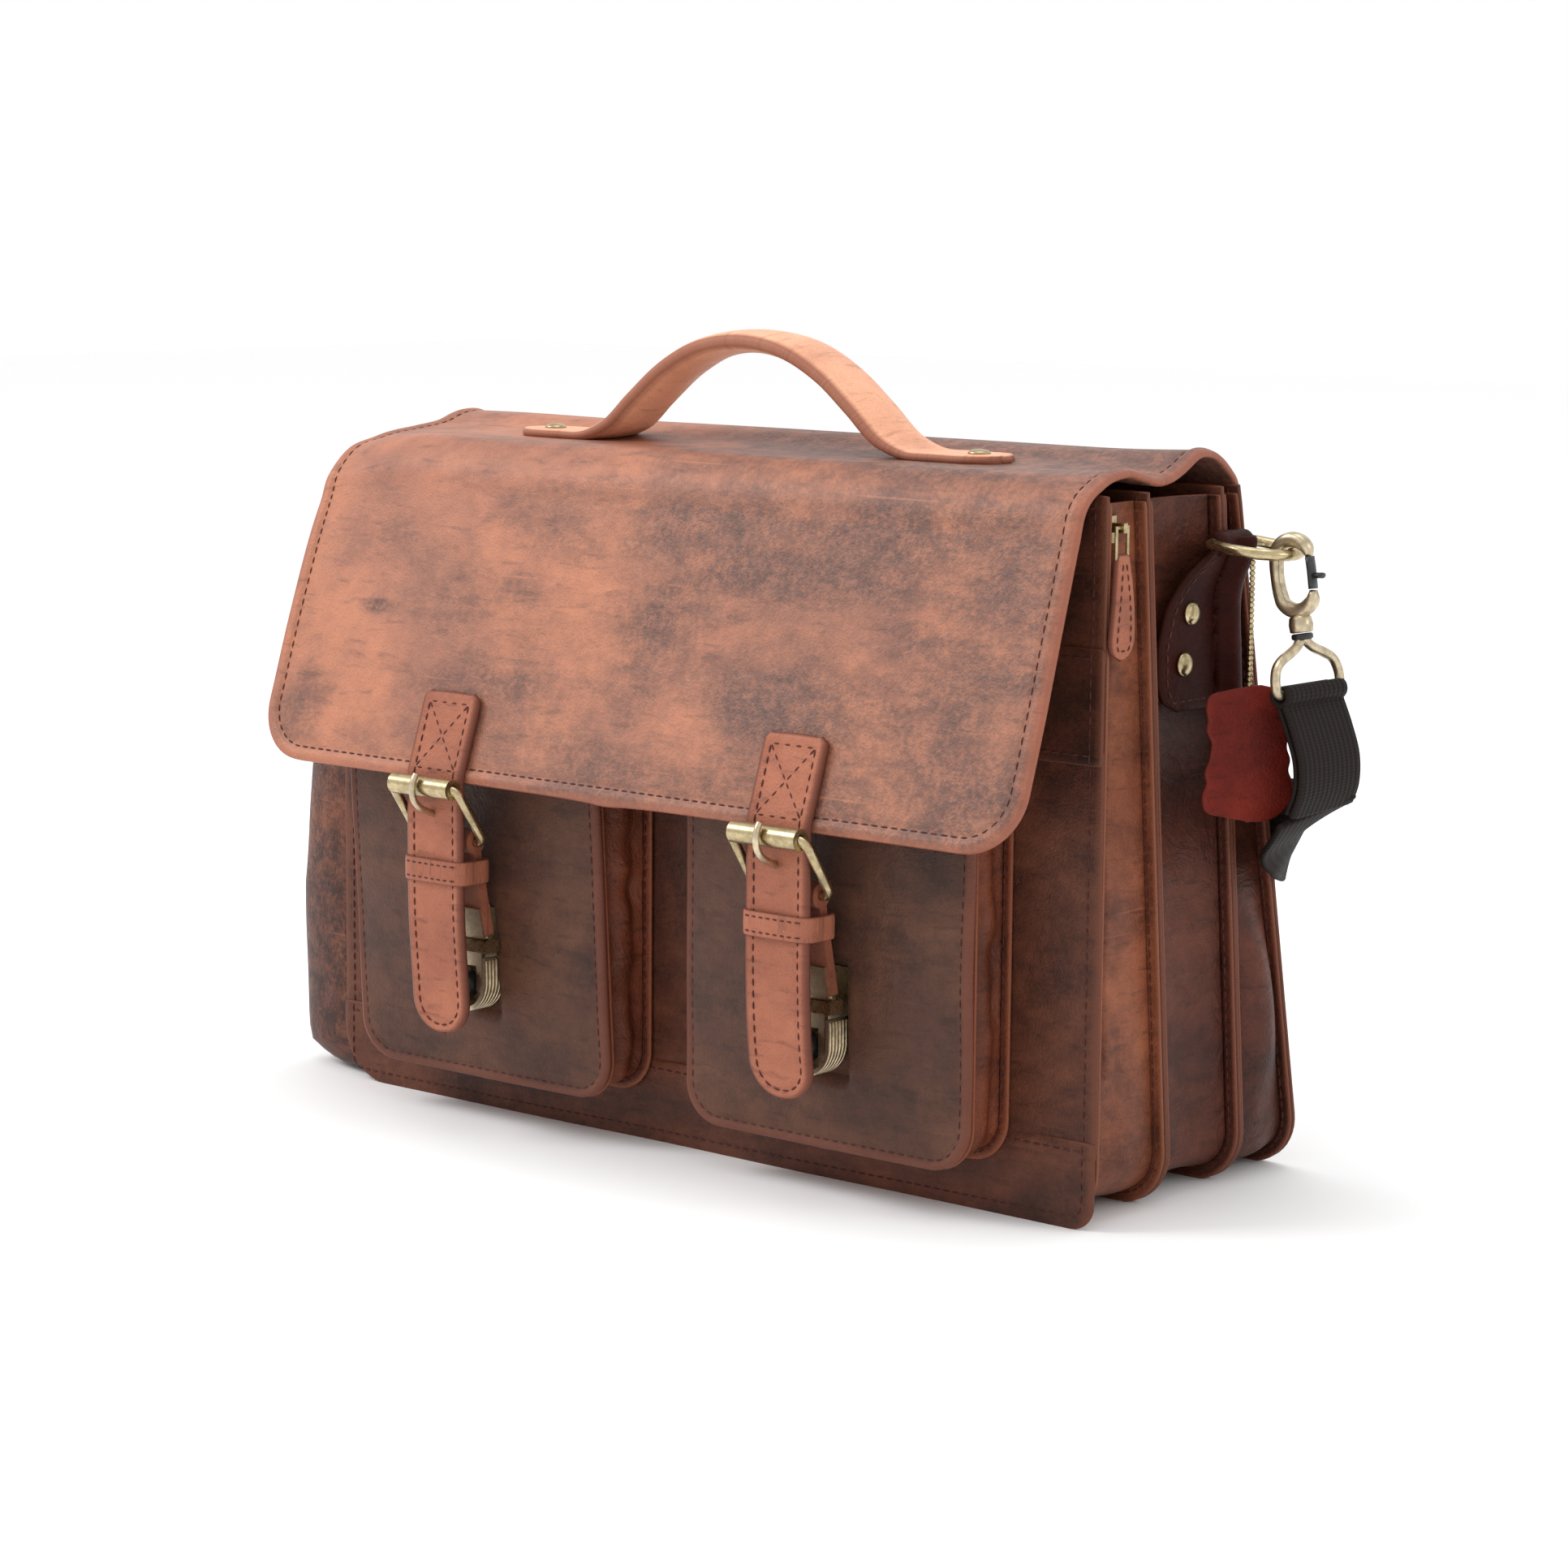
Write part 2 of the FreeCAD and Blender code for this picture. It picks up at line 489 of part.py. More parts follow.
# --- closures -----------------------------------------------------------------------------
def closure(name, centre):
    """Flap strap and hanging tongue, roller buckle, keeper, chape and the moving half of the push lock."""
    strap = cut_piece(f"strap_leaf_{name}", "XZ_Plane", "strap_width", "strap_high - 1", "strap_thick", "cd", "2")
    hang(strap, shifted("-strap_width/2", centre), "-flap_thick/2 - strap_thick", "-flap_drop + 1")
    tongue = cut_piece(f"tongue_leaf_{name}", "XZ_Plane", "strap_width", "tongue_high - tongue_low",
                       "strap_thick", "ab", "strap_width/2 - 0.5")
    place(tongue, (shifted("-strap_width/2", centre), "strap_plane - strap_thick", "tongue_low"))
    hole = block(f"tongue_hole_{name}", (shifted("-hole_width/2", centre), "strap_plane - strap_thick - 1", "hole_low"),
                 ("hole_width", "strap_thick + 2", "hole_high - hole_low"))
    node(join(f"flap_strap_{name}", strap, cut(f"tongue_cut_{name}", tongue, hole)))
    # frame: heel bar, two arms and the roller's bar, one bent wire
    reach = "sqrt((roller_y - heel_y)^2 + (roller_z - heel_z)^2)"
    bars = [rod(f"frame_bar_{part}_{name}", (shifted("-frame_half", centre), y, z), "wire/2", "2*frame_half", "x")
            for part, y, z in (("heel", "heel_y", "heel_z"), ("roller", "roller_y", "roller_z"))]
    arms, knobs = [], []
    for part, side in (("l", "-1"), ("r", "1")):
        arm = doc.addObject("Part::Cylinder", f"frame_arm_{part}_{name}")
        bind(arm, Radius="wire/2 + 0.2", Height=reach)
        arms.append(place(arm, (shifted(f"{side}*frame_half", centre), "heel_y", "heel_z"), (1, 0, 0),
                          "atan((heel_y - roller_y)/(roller_z - heel_z))"))
        for end, y, z in (("heel", "heel_y", "heel_z"), ("roller", "roller_y", "roller_z")):
            knob = doc.addObject("Part::Sphere", f"frame_bend_{part}_{end}_{name}")
            bind(knob, Radius="wire/2 + 0.2")
            knobs.append(place(knob, (shifted(f"{side}*frame_half", centre), y, z)))
    node(join(f"buckle_frame_{name}", *bars, *arms, *knobs))
    tube = rod(f"roller_tube_{name}", (shifted("-roller_long/2", centre), "roller_y", "roller_z"),
               "roller_radius", "roller_long", "x")
    bore = rod(f"roller_bore_{name}", (shifted("-roller_long/2 - 1", centre), "roller_y", "roller_z"),
               "wire/2 + running_gap", "roller_long + 2", "x")
    node(cut(f"buckle_roller_{name}", tube, bore))
    prong(name, centre)
    chape(name, centre)
    outer = block(f"keeper_outer_{name}", (shifted("-keeper_half - keeper_thick", centre),
                  "strap_plane - strap_thick - 0.4 - keeper_thick", "keeper_z - keeper_high/2"),
                  ("2*(keeper_half + keeper_thick)", "strap_thick + keeper_room", "keeper_high"))
    inner = block(f"keeper_inner_{name}", (shifted("-keeper_half", centre), "strap_plane - strap_thick - 0.4",
                  "keeper_z - keeper_high/2 - 1"),
                  ("2*keeper_half", "strap_thick + keeper_room - 2*keeper_thick", "keeper_high + 2"))
    node(cut(f"keeper_{name}", outer, inner))


def prong(name, centre):
    """The buckle's prong: an eye on the heel bar and a bent wire through the strap to the roller."""
    middle = (-1 if name == "l" else 1) * size("pocket_pitch") / 2
    heel, roller = (size("heel_y"), size("heel_z")), (size("roller_y"), size("roller_z"))
    path = [(heel[0] - 2.6, heel[1] + 2.4), (heel[0] - 8.5, heel[1] + 10.3), (roller[0] - 0.6, roller[1] - 9.2),
            (roller[0] - 5.2, roller[1] - 5.2), (roller[0] - 6.2, roller[1] + 0.6), (roller[0] - 4.2, roller[1] + 5)]
    line = Part.BSplineCurve()
    line.interpolate([FreeCAD.Vector(middle, y, z) for y, z in path])
    start, way = line.value(0), line.tangent(0)[0]
    ring = Part.Wire(Part.Circle(start, way, size("prong_wire") / 2).toShape())
    wire = Part.Wire(line.toShape()).makePipe(Part.Face(ring))
    eye = Part.makeCylinder(size("prong_eye_radius"), size("prong_eye"),
                            FreeCAD.Vector(middle - size("prong_eye") / 2, *heel), FreeCAD.Vector(1, 0, 0))
    bore = Part.makeCylinder(size("wire") / 2 + size("running_gap"), 20,
                             FreeCAD.Vector(middle - 10, *heel), FreeCAD.Vector(1, 0, 0))
    item = doc.addObject("Part::Feature", f"buckle_prong_{name}")
    item.Label = f"buckle_prong_{name}"
    item.Shape = eye.fuse(wire).cut(bore).removeSplitter()
    node(item)


def chape(name, centre):
    """The short strap folded round the heel bar, its lower end held by the lock's brass clamp."""
    roll = rod(f"chape_roll_{name}", ("-strap_width/2", "0", "0"), "chape_roll", "strap_width", "x")
    leaf = block(f"chape_leaf_{name}", ("-strap_width/2", "-chape_thick/2", "-chape_long"),
                 ("strap_width", "chape_thick", "chape_long"))
    bore = rod(f"chape_bore_{name}", ("-strap_width", "0", "0"), "wire/2 + 0.02", "2*strap_width", "x")
    gap = block(f"chape_gap_{name}", ("-prong_slot/2", "-10", "-prong_eye_radius - 1.5"), ("prong_slot", "20", "20"))
    solid = cut(f"chape_solid_{name}", join(f"chape_whole_{name}", roll, leaf), join(f"chape_tools_{name}", bore, gap))
    node(tilted(f"chape_{name}", solid, centre))


def tilted(label, solid, centre):
    """A copy of a chape piece set at the heel bar and leaned back to the pocket."""
    item = doc.addObject("Part::Compound", label)
    item.Label = label
    item.Links = [solid]
    return place(item, (centre, "heel_y", "heel_z"), (1, 0, 0), "chape_tilt")


def lock(name, centre):
    """The push lock: an open brass tray on the pocket, a sprung round button, and the fork that drops round it."""
    shell = []
    for part, grow, y, deep in (("outer", "0", f"{POCKET_FACE} - lock_depth", "lock_depth"),
                                ("inner", "lock_wall", f"{POCKET_FACE} - lock_depth - 1", "lock_depth - lock_plate + 1")):
        body = cut_piece(f"lock_{part}_{name}", "XZ_Plane", f"2*lock_half - 2*{grow}",
                         f"lock_wall_high - lock_low + 4*({grow})", deep, "ab", f"lock_half - 0.5 - {grow}")
        shell.append(place(body, (shifted(f"-lock_half + {grow}", centre), y, f"lock_low + {grow}")))
    plate = cut_piece(f"lock_back_{name}", "XZ_Plane", "2*lock_half", "lock_high - lock_low", "lock_plate",
                      "ab", "lock_half - 0.5")
    place(plate, (shifted("-lock_half", centre), f"{POCKET_FACE} - lock_plate", "lock_low"))
    node(join(f"lock_tray_{name}", cut(f"lock_walls_{name}", *shell), plate))
    face = f"{POCKET_FACE} - lock_depth - 1"
    head = rod(f"button_head_{name}", (centre, face, "button_z"), "button_radius", "button_thick", "y")
    stem = rod(f"button_stem_{name}", (centre, face, "button_z"), "stem_radius",
               "lock_depth + 1 - lock_plate - button_travel - 0.3", "y")
    node(join(f"lock_button_{name}", head, stem))
    # the fork hangs from the clamp, its legs either side of the button
    sheet_y = "heel_y + chape_long*sin(chape_tilt) - fork_thick/2"
    web_low = "collar_z - collar_high/2"
    legs = block(f"fork_legs_{name}", (shifted("-fork_out", centre), sheet_y, "fork_low"),
                 ("2*fork_out", "fork_thick", f"{web_low} - fork_low"))
    web = block(f"fork_web_{name}", (shifted("-collar_half + collar_thick", centre), sheet_y, web_low),
                ("2*(collar_half - collar_thick)", "fork_thick", "collar_high + 1.5"))
    slot = block(f"fork_slot_{name}", (shifted("-fork_half", centre), f"{sheet_y} - 1", "fork_low - 1"),
                 ("2*fork_half", "fork_thick + 2", "button_z + button_radius + fork_gap - fork_low + 1"))
    fork = cut(f"fork_{name}", join(f"fork_sheet_{name}", legs, web), slot)
    cheeks = block(f"clamp_outer_{name}", ("-strap_width/2 + 1", "-chape_thick/2 - clamp_sheet", "-chape_long - clamp_sheet"),
                   ("strap_width - 2", "chape_thick + 2*clamp_sheet", "clamp_long"))
    room = block(f"clamp_room_{name}", ("-strap_width", "-chape_thick/2", "-chape_long"),
                 ("2*strap_width", "chape_thick", "2*clamp_long"))
    clamp = tilted(f"clamp_{name}", cut(f"clamp_solid_{name}", cheeks, room), centre)
    node(join(f"lock_fork_{name}", clamp, fork))
    loop = block(f"collar_outer_{name}", (shifted("-collar_half", centre), f"{sheet_y} - 3", web_low),
                 ("2*collar_half", "fork_thick + 6", "collar_high"))
    hollow = block(f"collar_inner_{name}", (shifted("-collar_half + collar_thick", centre),
                   f"{sheet_y} - 3 + collar_thick", f"{web_low} - 1"),
                   ("2*(collar_half - collar_thick)", "fork_thick + 6 - 2*collar_thick", "collar_high + 2"))
    node(cut(f"lock_collar_{name}", loop, hollow))


# --- strap hardware -----------------------------------------------------------------------
def ring_tab():
    """Leather folded round the rear divider's ridge, riveted through, its top rolled round the ring's bar."""
    lean = LEAN[SECOND]
    back = "-flange - tab_cover"
    spine = cut_piece("tab_spine", "XZ_Plane", "ridge + tab_cover", "tab_high - tab_low",
                      "leather + 2*flange + 2*tab_cover")
    place(spine, (SKIN_OUT, f"{SECOND} + ({back})*cos(atan({lean})) - tab_low*tan(atan({lean}))",
                  f"tab_low + ({back})*sin(atan({lean}))"), (1, 0, 0), f"atan({lean})")
    leaf = cut_piece("tab_leaf_piece", "YZ_Plane", "tab_front + 4", "tab_high - tab_low - 4", "tab_leaf", "ad", "20")
    place(leaf, (SKIN_OUT, "ring_y - tab_front", "tab_low"))
    roll = rod("tab_roll", ("ring_axis", "ring_y - loop_half", "ring_z"), "loop_radius", "2*loop_half", "y")
    neck = block("tab_neck", (SKIN_OUT, "ring_y - loop_half + 6", "ring_z - loop_radius - 1"),
                 ("ring_axis - panel_width/2 + ridge", "2*loop_half - 8", "loop_radius - 1"))
    bore = rod("tab_bore", ("ring_axis", "ring_y - 2*loop_half", "ring_z"), "ring_wire/2 + running_gap",
               "4*loop_half", "y")
    tools = join("tab_tools", bore, *[n for n in NODES if n.Label in ("divider_rear", "gusset_middle", "gusset_rear")])
    both(cut("ring_tab_r", join("tab_solid", spine, leaf, roll, neck), tools))
    heads = [rod(f"tab_head_{n}", (f"{SKIN_OUT} + tab_leaf", y, z), "rivet_radius", "rivet_high", "x")
             for n, y, z in (("high", "ring_y - 16", "ring_z - 26"), ("low", "ring_y - 20", "ring_z - 45"))]
    rivets = pair("tab_rivet_heads", *heads)
    node(pair("tab_rivets", rivets, mirrored("tab_rivet_heads_l", rivets)))


def ring():
    """A wire D: straight bar in the tab's loop, two short sides and a round bow."""
    bar = rod("ring_bar", ("0", "-ring_half", "0"), "ring_wire/2", "2*ring_half", "y")
    parts = [bar]
    for name, side in (("a", "-1"), ("b", "1")):
        parts.append(rod(f"ring_side_{name}", ("0", f"{side}*ring_half", "0"), "ring_wire/2", "ring_side", "x"))
        ball = doc.addObject("Part::Sphere", f"ring_bend_{name}")
        bind(ball, Radius="ring_wire/2")
        parts.append(place(ball, ("0", f"{side}*ring_half", "0")))
    bow = doc.addObject("Part::Torus", "ring_bow")
    bind(bow, Radius1="ring_half", Radius2="ring_wire/2", Angle3="180")
    parts.append(place(bow, ("ring_side", "0", "0"), (0, 0, 1), "-90"))
    item = doc.addObject("Part::Compound", "ring_r")
    item.Label = "ring_r"
    item.Links = [join("ring_solid", *parts)]
    both(place(item, ("ring_axis", "ring_y", "ring_z"), (0, 1, 0), "ring_tilt"))


def swung(label, solid):
    """A piece drawn round the ring's wire, hung from it with its foot swung out."""
    item = doc.addObject("Part::Compound", label)
    item.Label = label
    item.Links = [solid]
    reach = "(ring_side + ring_half)"
    place(item, (f"ring_axis + {reach}*cos(ring_tilt)", "ring_y", f"ring_z - {reach}*sin(ring_tilt)"),
          (0, 1, 0), "-hook_swing")
    return item


def both(item):
    """Keep a right-hand piece and its left-hand twin."""
    node(item)
    return node(mirrored(item.Label[:-1] + "l", item))


def snap_hook():
    """Trigger hook, its sprung gate, and the swivel eye that carries the webbing."""
    top = "ring_wire/2 + 0.25 + (hook_tall - hook_open_tall)/2"
    plate = cut_piece("hook_plate", "XZ_Plane", "hook_wide", "hook_tall", "hook_thick", "abcd", "hook_wide/2 - 0.3")
    place(plate, ("-hook_wide/2", "-hook_thick/2", f"{top} - hook_tall"))
    eye = cut_piece("hook_window", "XZ_Plane", "hook_opening", "hook_open_tall", "hook_thick + 2", "abcd",
                    "hook_opening/2 - 0.3")
    place(eye, ("-hook_opening/2", "-hook_thick/2 - 1", f"{top} - (hook_tall + hook_open_tall)/2"))
    gate_low = f"({top} - (hook_tall + hook_open_tall)/2 + 3)"
    mouth = block("hook_mouth", ("0", "-hook_thick", gate_low), ("hook_wide", "2*hook_thick", "hook_gate_tall"))
    boss_low = f"({top} - hook_tall - 5)"
    boss = rod("hook_boss", ("0", "0", boss_low), "collar_radius", "7", "z")
    bore = rod("hook_bore", ("0", "0", f"{boss_low} - 1"), "pin_radius + running_gap", "5.2", "z")
    hook = cut("hook_solid", join("hook_whole", cut("hook_frame", plate, join("hook_tools", eye, mouth)), boss), bore)
    both(swung("hook_r", hook))
    lever = block("gate_lever", ("hook_opening/2 + 0.6", "-hook_thick/2 + 0.3", f"{gate_low} + 0.7"),
                  ("gate_thick", "hook_thick - 0.6", "hook_gate_tall - 1.4"))
    thumb = block("gate_thumb", ("hook_opening/2 + gate_thick", "-hook_thick/2 + 0.8", f"{gate_low} + 4"),
                  ("3.4", "hook_thick - 1.6", "2.2"))
    both(swung("hook_gate_r", join("gate_solid", lever, thumb)))
    collar_top = f"({boss_low} - 0.3)"
    pin = rod("eye_pin", ("0", "0", f"{collar_top} - 1"), "pin_radius", "4.6", "z")
    collar = rod("eye_collar", ("0", "0", f"{collar_top} - 2.4"), "collar_radius - 0.6", "2.4", "z")
    bar_z = f"({collar_top} - eye_drop)"
    bar = rod("eye_bar", ("0", "-eye_half", bar_z), "eye_wire/2", "2*eye_half", "y")
    parts = [pin, collar, bar]
    for name, side in (("a", "-1"), ("b", "1")):
        parts.append(rod(f"eye_side_{name}", ("0", f"{side}*eye_half", bar_z), "eye_wire/2", "eye_side", "z"))
        leg = doc.addObject("Part::Cylinder", f"eye_leg_{name}")
        bind(leg, Radius="eye_wire/2", Height="sqrt((eye_drop - eye_side - 2)^2 + (eye_half - 1)^2)")
        parts.append(place(leg, ("0", f"{side}*eye_half", f"{bar_z} + eye_side"), (1, 0, 0),
                           f"{side}*atan((eye_half - 1)/(eye_drop - eye_side - 2))"))
        for end, up in (("low", "0"), ("high", "eye_side")):
            ball = doc.addObject("Part::Sphere", f"eye_bend_{name}_{end}")
            bind(ball, Radius="eye_wire/2")
            parts.append(place(ball, ("0", f"{side}*eye_half", f"{bar_z} + {up}")))
    both(swung("hook_eye_r", join("eye_solid", *parts)))
    fold = rod("webbing_fold", ("0", "-webbing_width/2", bar_z), "eye_wire/2 + 0.1 + webbing_thick",
               "webbing_width", "y")
    hollow = rod("webbing_bore", ("0", "-webbing_width", bar_z), "eye_wire/2 + 0.1", "2*webbing_width", "y")
    return cut("fold_solid", fold, hollow)


def ribbon(label, line, stations, thick):
    """A flat band of webbing: one cross-section per station, each a place along the line and a width direction."""
    wide, sections = size("webbing_width"), []
    for value, hint in stations:
        centre, along = line.value(value), line.tangent(value)[0]
        side = (hint - along * hint.dot(along)).normalize()
        up = along.cross(side).normalize()
        corners = [centre + side * (a * wide / 2) + up * (b * thick / 2)
                   for a, b in ((-1, -1), (1, -1), (1, 1), (-1, 1), (-1, -1))]
        sections.append(Part.makePolygon(corners))
    item = doc.addObject("Part::Feature", label)
    item.Label = label
    item.Shape = Part.makeLoft(sections, True, True)
    return item


def shoulder_strap(fold):
    """Webbing: sewn ends on each hook's eye, and the strap itself passing behind the case."""
    y, run = size("ring_y"), size("strap_run_y")
    swing, tilt = math.radians(size("hook_swing")), math.radians(size("ring_tilt"))
    reach = size("ring_side") + size("ring_half")
    wire_x = size("ring_axis") + reach * math.cos(tilt)
    wire_z = size("ring_z") - reach * math.sin(tilt)
    top = size("ring_wire") / 2 + 0.25 + (size("hook_tall") - size("hook_open_tall")) / 2
    drop = size("hook_tall") + 5.3 + size("eye_drop") - top
    x0, z0 = wire_x + drop * math.sin(swing), wire_z - drop * math.cos(swing)
    under = size("eye_wire") / 2 + size("webbing_thick") - 0.5
    # middle line of the webbing below the eye bar, with the direction of its width at each point
    low = size("ring_z") - size("strap_hang") + size("webbing_width") / 2
    path = ((x0 + 0.6, y, z0 - under, (0, 1, 0)), (x0 + 5, y, z0 - 14, (0, 1, 0)),
            (x0 + 8.5, y, z0 - 25, (0, 1, 0)), (x0 + 8.5, y, z0 - 35, (0, 1, 0)),
            (x0 + 5, y + 0.5, z0 - 44, (0, 1, 0)), (x0 - 3, y + 4.5, z0 - 51, (0, 1, 0.15)),
            (x0 - 14, y + 18, low + 7, (0, 0.8, 0.6)), (x0 - 26, y + 36, low + 3, (0.2, 0.45, 0.9)),
            (x0 - 42, run - 4, low + 0.5, (0.1, 0.1, 1)), (x0 - 66, run, low, (0, 0, 1)),
            (x0 - 104, run, low, (0, 0, 1)))
    line = Part.BSplineCurve()
    line.interpolate([FreeCAD.Vector(*p[:3]) for p in path])
    knots = [line.parameter(FreeCAD.Vector(*p[:3])) for p in path]

    def stations(first, last, trim_first=0, trim_last=0):
        """Four places to each stretch of the path, the end ones moved in by a trim in millimetres."""
        found = []
        for step in range(4 * (last - first) + 1):
            at = min(first + step // 4, last - 1)
            part = first + step / 4 - at
            value = knots[at] * (1 - part) + knots[at + 1] * part
            hint = FreeCAD.Vector(*path[at][3]) * (1 - part) + FreeCAD.Vector(*path[at + 1][3]) * part
            found.append([value, hint])
        speed = [line.getD1(found[k][0])[1].Length for k in (0, -1)]
        found[0][0] += trim_first / speed[0]
        found[-1][0] -= trim_last / speed[1]
        return found

    gap, cut_at = size("webbing_gap"), 4
    tail = ribbon("webbing_tail", line, stations(0, cut_at, 0, gap / 2), 2 * size("webbing_thick"))
    both(join("webbing_end_r", swung("webbing_fold", fold), tail))
    turned = ribbon("strap_turn_r", line, stations(cut_at, len(path) - 1, gap / 2), size("webbing_thick"))
    level = path[-1]
    wide, thick = size("webbing_width"), size("webbing_thick")
    middle = doc.addObject("Part::Feature", "strap_middle")
    middle.Shape = Part.makeBox(2 * level[0], thick, wide,
                                FreeCAD.Vector(-level[0], level[1] - thick / 2, level[2] - wide / 2))
    node(join("shoulder_strap", turned, mirrored("strap_turn_l", turned), middle))
    frame = Part.makeBox(16, 6.4, wide + 7, FreeCAD.Vector(-88, level[1] - 3.2, level[2] - wide / 2 - 3.5))
    window = Part.makeBox(20, thick + 0.4, wide + 0.8,
                          FreeCAD.Vector(-90, level[1] - thick / 2 - 0.2, level[2] - wide / 2 - 0.4))
    slider = doc.addObject("Part::Feature", "strap_slider")
    slider.Label = "strap_slider"
    slider.Shape = frame.cut(window)
    node(slider)


# --- tag ----------------------------------------------------------------------------------
def hang_tag():
    """A hide-shaped leather tag on a short ball chain looped over the ring."""
    balls = int(size("chain_long") // (size("chain_ball") * 0.9))
    top = FreeCAD.Vector(size("chain_x"), size("chain_y"), size("chain_top"))
    step = FreeCAD.Vector(0, 0, -size("chain_ball") * 0.9)
    chain = Part.makeSphere(size("chain_ball") / 2, top)
    for number in range(1, balls):
        chain = chain.fuse(Part.makeSphere(size("chain_ball") / 2, top + step * number))
    item = doc.addObject("Part::Feature", "tag_chain")
    item.Label = "tag_chain"
    item.Shape = chain.removeSplitter()
    node(item)
    leaf = cut_piece("tag_leaf", "XZ_Plane", "tag_width", "tag_long", "tag_thick", "abcd", "6")
    turn = "tag_turn"
    at = (f"chain_x - tag_width/2*cos({turn}) + tag_thick/2*sin({turn})",
          f"chain_y - tag_width/2*sin({turn}) - tag_thick/2*cos({turn})",
          f"chain_top - {balls - 1}*0.9*chain_ball - chain_ball/2 - tag_long")
    place(leaf, at, (0, 0, 1), turn)
    leaf.Label = "tag"
    node(leaf)



for_left, for_right = "-pocket_pitch/2", "pocket_pitch/2"

front_panels()
upright_panels()
gussets()
zip_parts()
zip_pull()
for name, centre in (("l", for_left), ("r", for_right)):
    pocket(name, centre)
flap()
handle()
for name, centre in (("l", for_left), ("r", for_right)):
    closure(name, centre)
    lock(name, centre)
ring_tab()
ring()
shoulder_strap(snap_hook())
hang_tag()

doc.recompute()
problems = [f"{o.Label}: {o.State}" for o in doc.Objects if {"Invalid", "Error"} & set(o.State)]
problems += [f"{o.Label}: bad shape" for o in doc.Objects
             if hasattr(o, "Shape") and o in NODES and (o.Shape.isNull() or not o.Shape.isValid())]
if problems:
    raise SystemExit("\n".join(problems))
os.makedirs("parts", exist_ok=True)
for item in NODES:
    item.Shape.exportStep(f"parts/{item.Label}.step")
    box = item.Shape.BoundBox
    print(f"{item.Label:22s} {len(item.Shape.Solids)} solids, {item.Shape.Volume:10.0f} mm3,"
          f" x {box.XMin:7.1f} {box.XMax:7.1f} y {box.YMin:7.1f} {box.YMax:7.1f} z {box.ZMin:6.1f} {box.ZMax:6.1f}")
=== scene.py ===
import bpy
import json
import numpy as np
from mathutils import Matrix, Vector


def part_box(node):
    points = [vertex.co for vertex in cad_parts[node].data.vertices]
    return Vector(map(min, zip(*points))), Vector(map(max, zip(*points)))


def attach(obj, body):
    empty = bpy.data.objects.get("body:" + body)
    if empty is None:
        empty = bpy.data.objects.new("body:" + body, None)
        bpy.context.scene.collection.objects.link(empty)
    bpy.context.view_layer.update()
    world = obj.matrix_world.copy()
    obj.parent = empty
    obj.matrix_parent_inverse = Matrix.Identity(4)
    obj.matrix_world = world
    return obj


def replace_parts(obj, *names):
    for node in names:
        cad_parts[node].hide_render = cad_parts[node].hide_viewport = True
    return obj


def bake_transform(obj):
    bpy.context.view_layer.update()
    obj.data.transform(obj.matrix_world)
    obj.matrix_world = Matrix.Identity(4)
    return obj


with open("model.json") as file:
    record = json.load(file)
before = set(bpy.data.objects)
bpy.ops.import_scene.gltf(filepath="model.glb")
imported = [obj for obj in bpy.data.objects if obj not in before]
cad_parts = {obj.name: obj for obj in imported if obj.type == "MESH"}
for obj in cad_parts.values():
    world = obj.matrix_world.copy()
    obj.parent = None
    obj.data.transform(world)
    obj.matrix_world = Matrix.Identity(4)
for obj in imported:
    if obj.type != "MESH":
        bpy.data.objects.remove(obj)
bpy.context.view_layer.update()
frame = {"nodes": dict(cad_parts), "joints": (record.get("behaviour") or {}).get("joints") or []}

# --- studio ---------------------------------------------------------------------------------
# A pale sweep under the case, one large soft light high on the left, a weak one on the right
# and a long-lens camera that looks down a little on the front and the right end.
floor_half = 6.0
floor_mesh = bpy.data.meshes.new("floor")
floor_mesh.from_pydata([(-floor_half, -floor_half, 0), (floor_half, -floor_half, 0),
                        (floor_half, floor_half, 0), (-floor_half, floor_half, 0)], [], [(0, 1, 2, 3)])
floor = bpy.data.objects.new("floor", floor_mesh)
bpy.context.scene.collection.objects.link(floor)
floor_paint = bpy.data.materials.new("pale_floor")
floor_paint.use_nodes = True
floor_paint.node_tree.nodes["Principled BSDF"].inputs["Base Color"].default_value = (0.985, 0.985, 0.985, 1)
floor_paint.node_tree.nodes["Principled BSDF"].inputs["Roughness"].default_value = 0.9
floor_mesh.materials.append(floor_paint)

sky = bpy.data.worlds.new("studio")
sky.use_nodes = True
sky.node_tree.nodes["Background"].inputs["Color"].default_value = (1, 1, 1, 1)
sky.node_tree.nodes["Background"].inputs["Strength"].default_value = 1.0
bpy.context.scene.world = sky
bpy.context.scene.view_settings.view_transform = "Standard"


def soft_light(name, at, aim, across, watts):
    """A square light at one point, turned to face another."""
    lamp = bpy.data.lights.new(name, "AREA")
    lamp.size, lamp.energy = across, watts
    item = bpy.data.objects.new(name, lamp)
    bpy.context.scene.collection.objects.link(item)
    item.location = at
    item.rotation_mode = "QUATERNION"
    item.rotation_quaternion = (Vector(aim) - Vector(at)).to_track_quat("-Z", "Y")


soft_light("key", (-1.6, -1.5, 2.0), (0, 0, 0.15), 1.2, 34)
soft_light("top", (0.1, 0.1, 2.4), (0, 0, 0.2), 1.4, 12)
soft_light("rim", (1.9, 0.5, 1.0), (0.2, 0, 0.15), 0.8, 3)

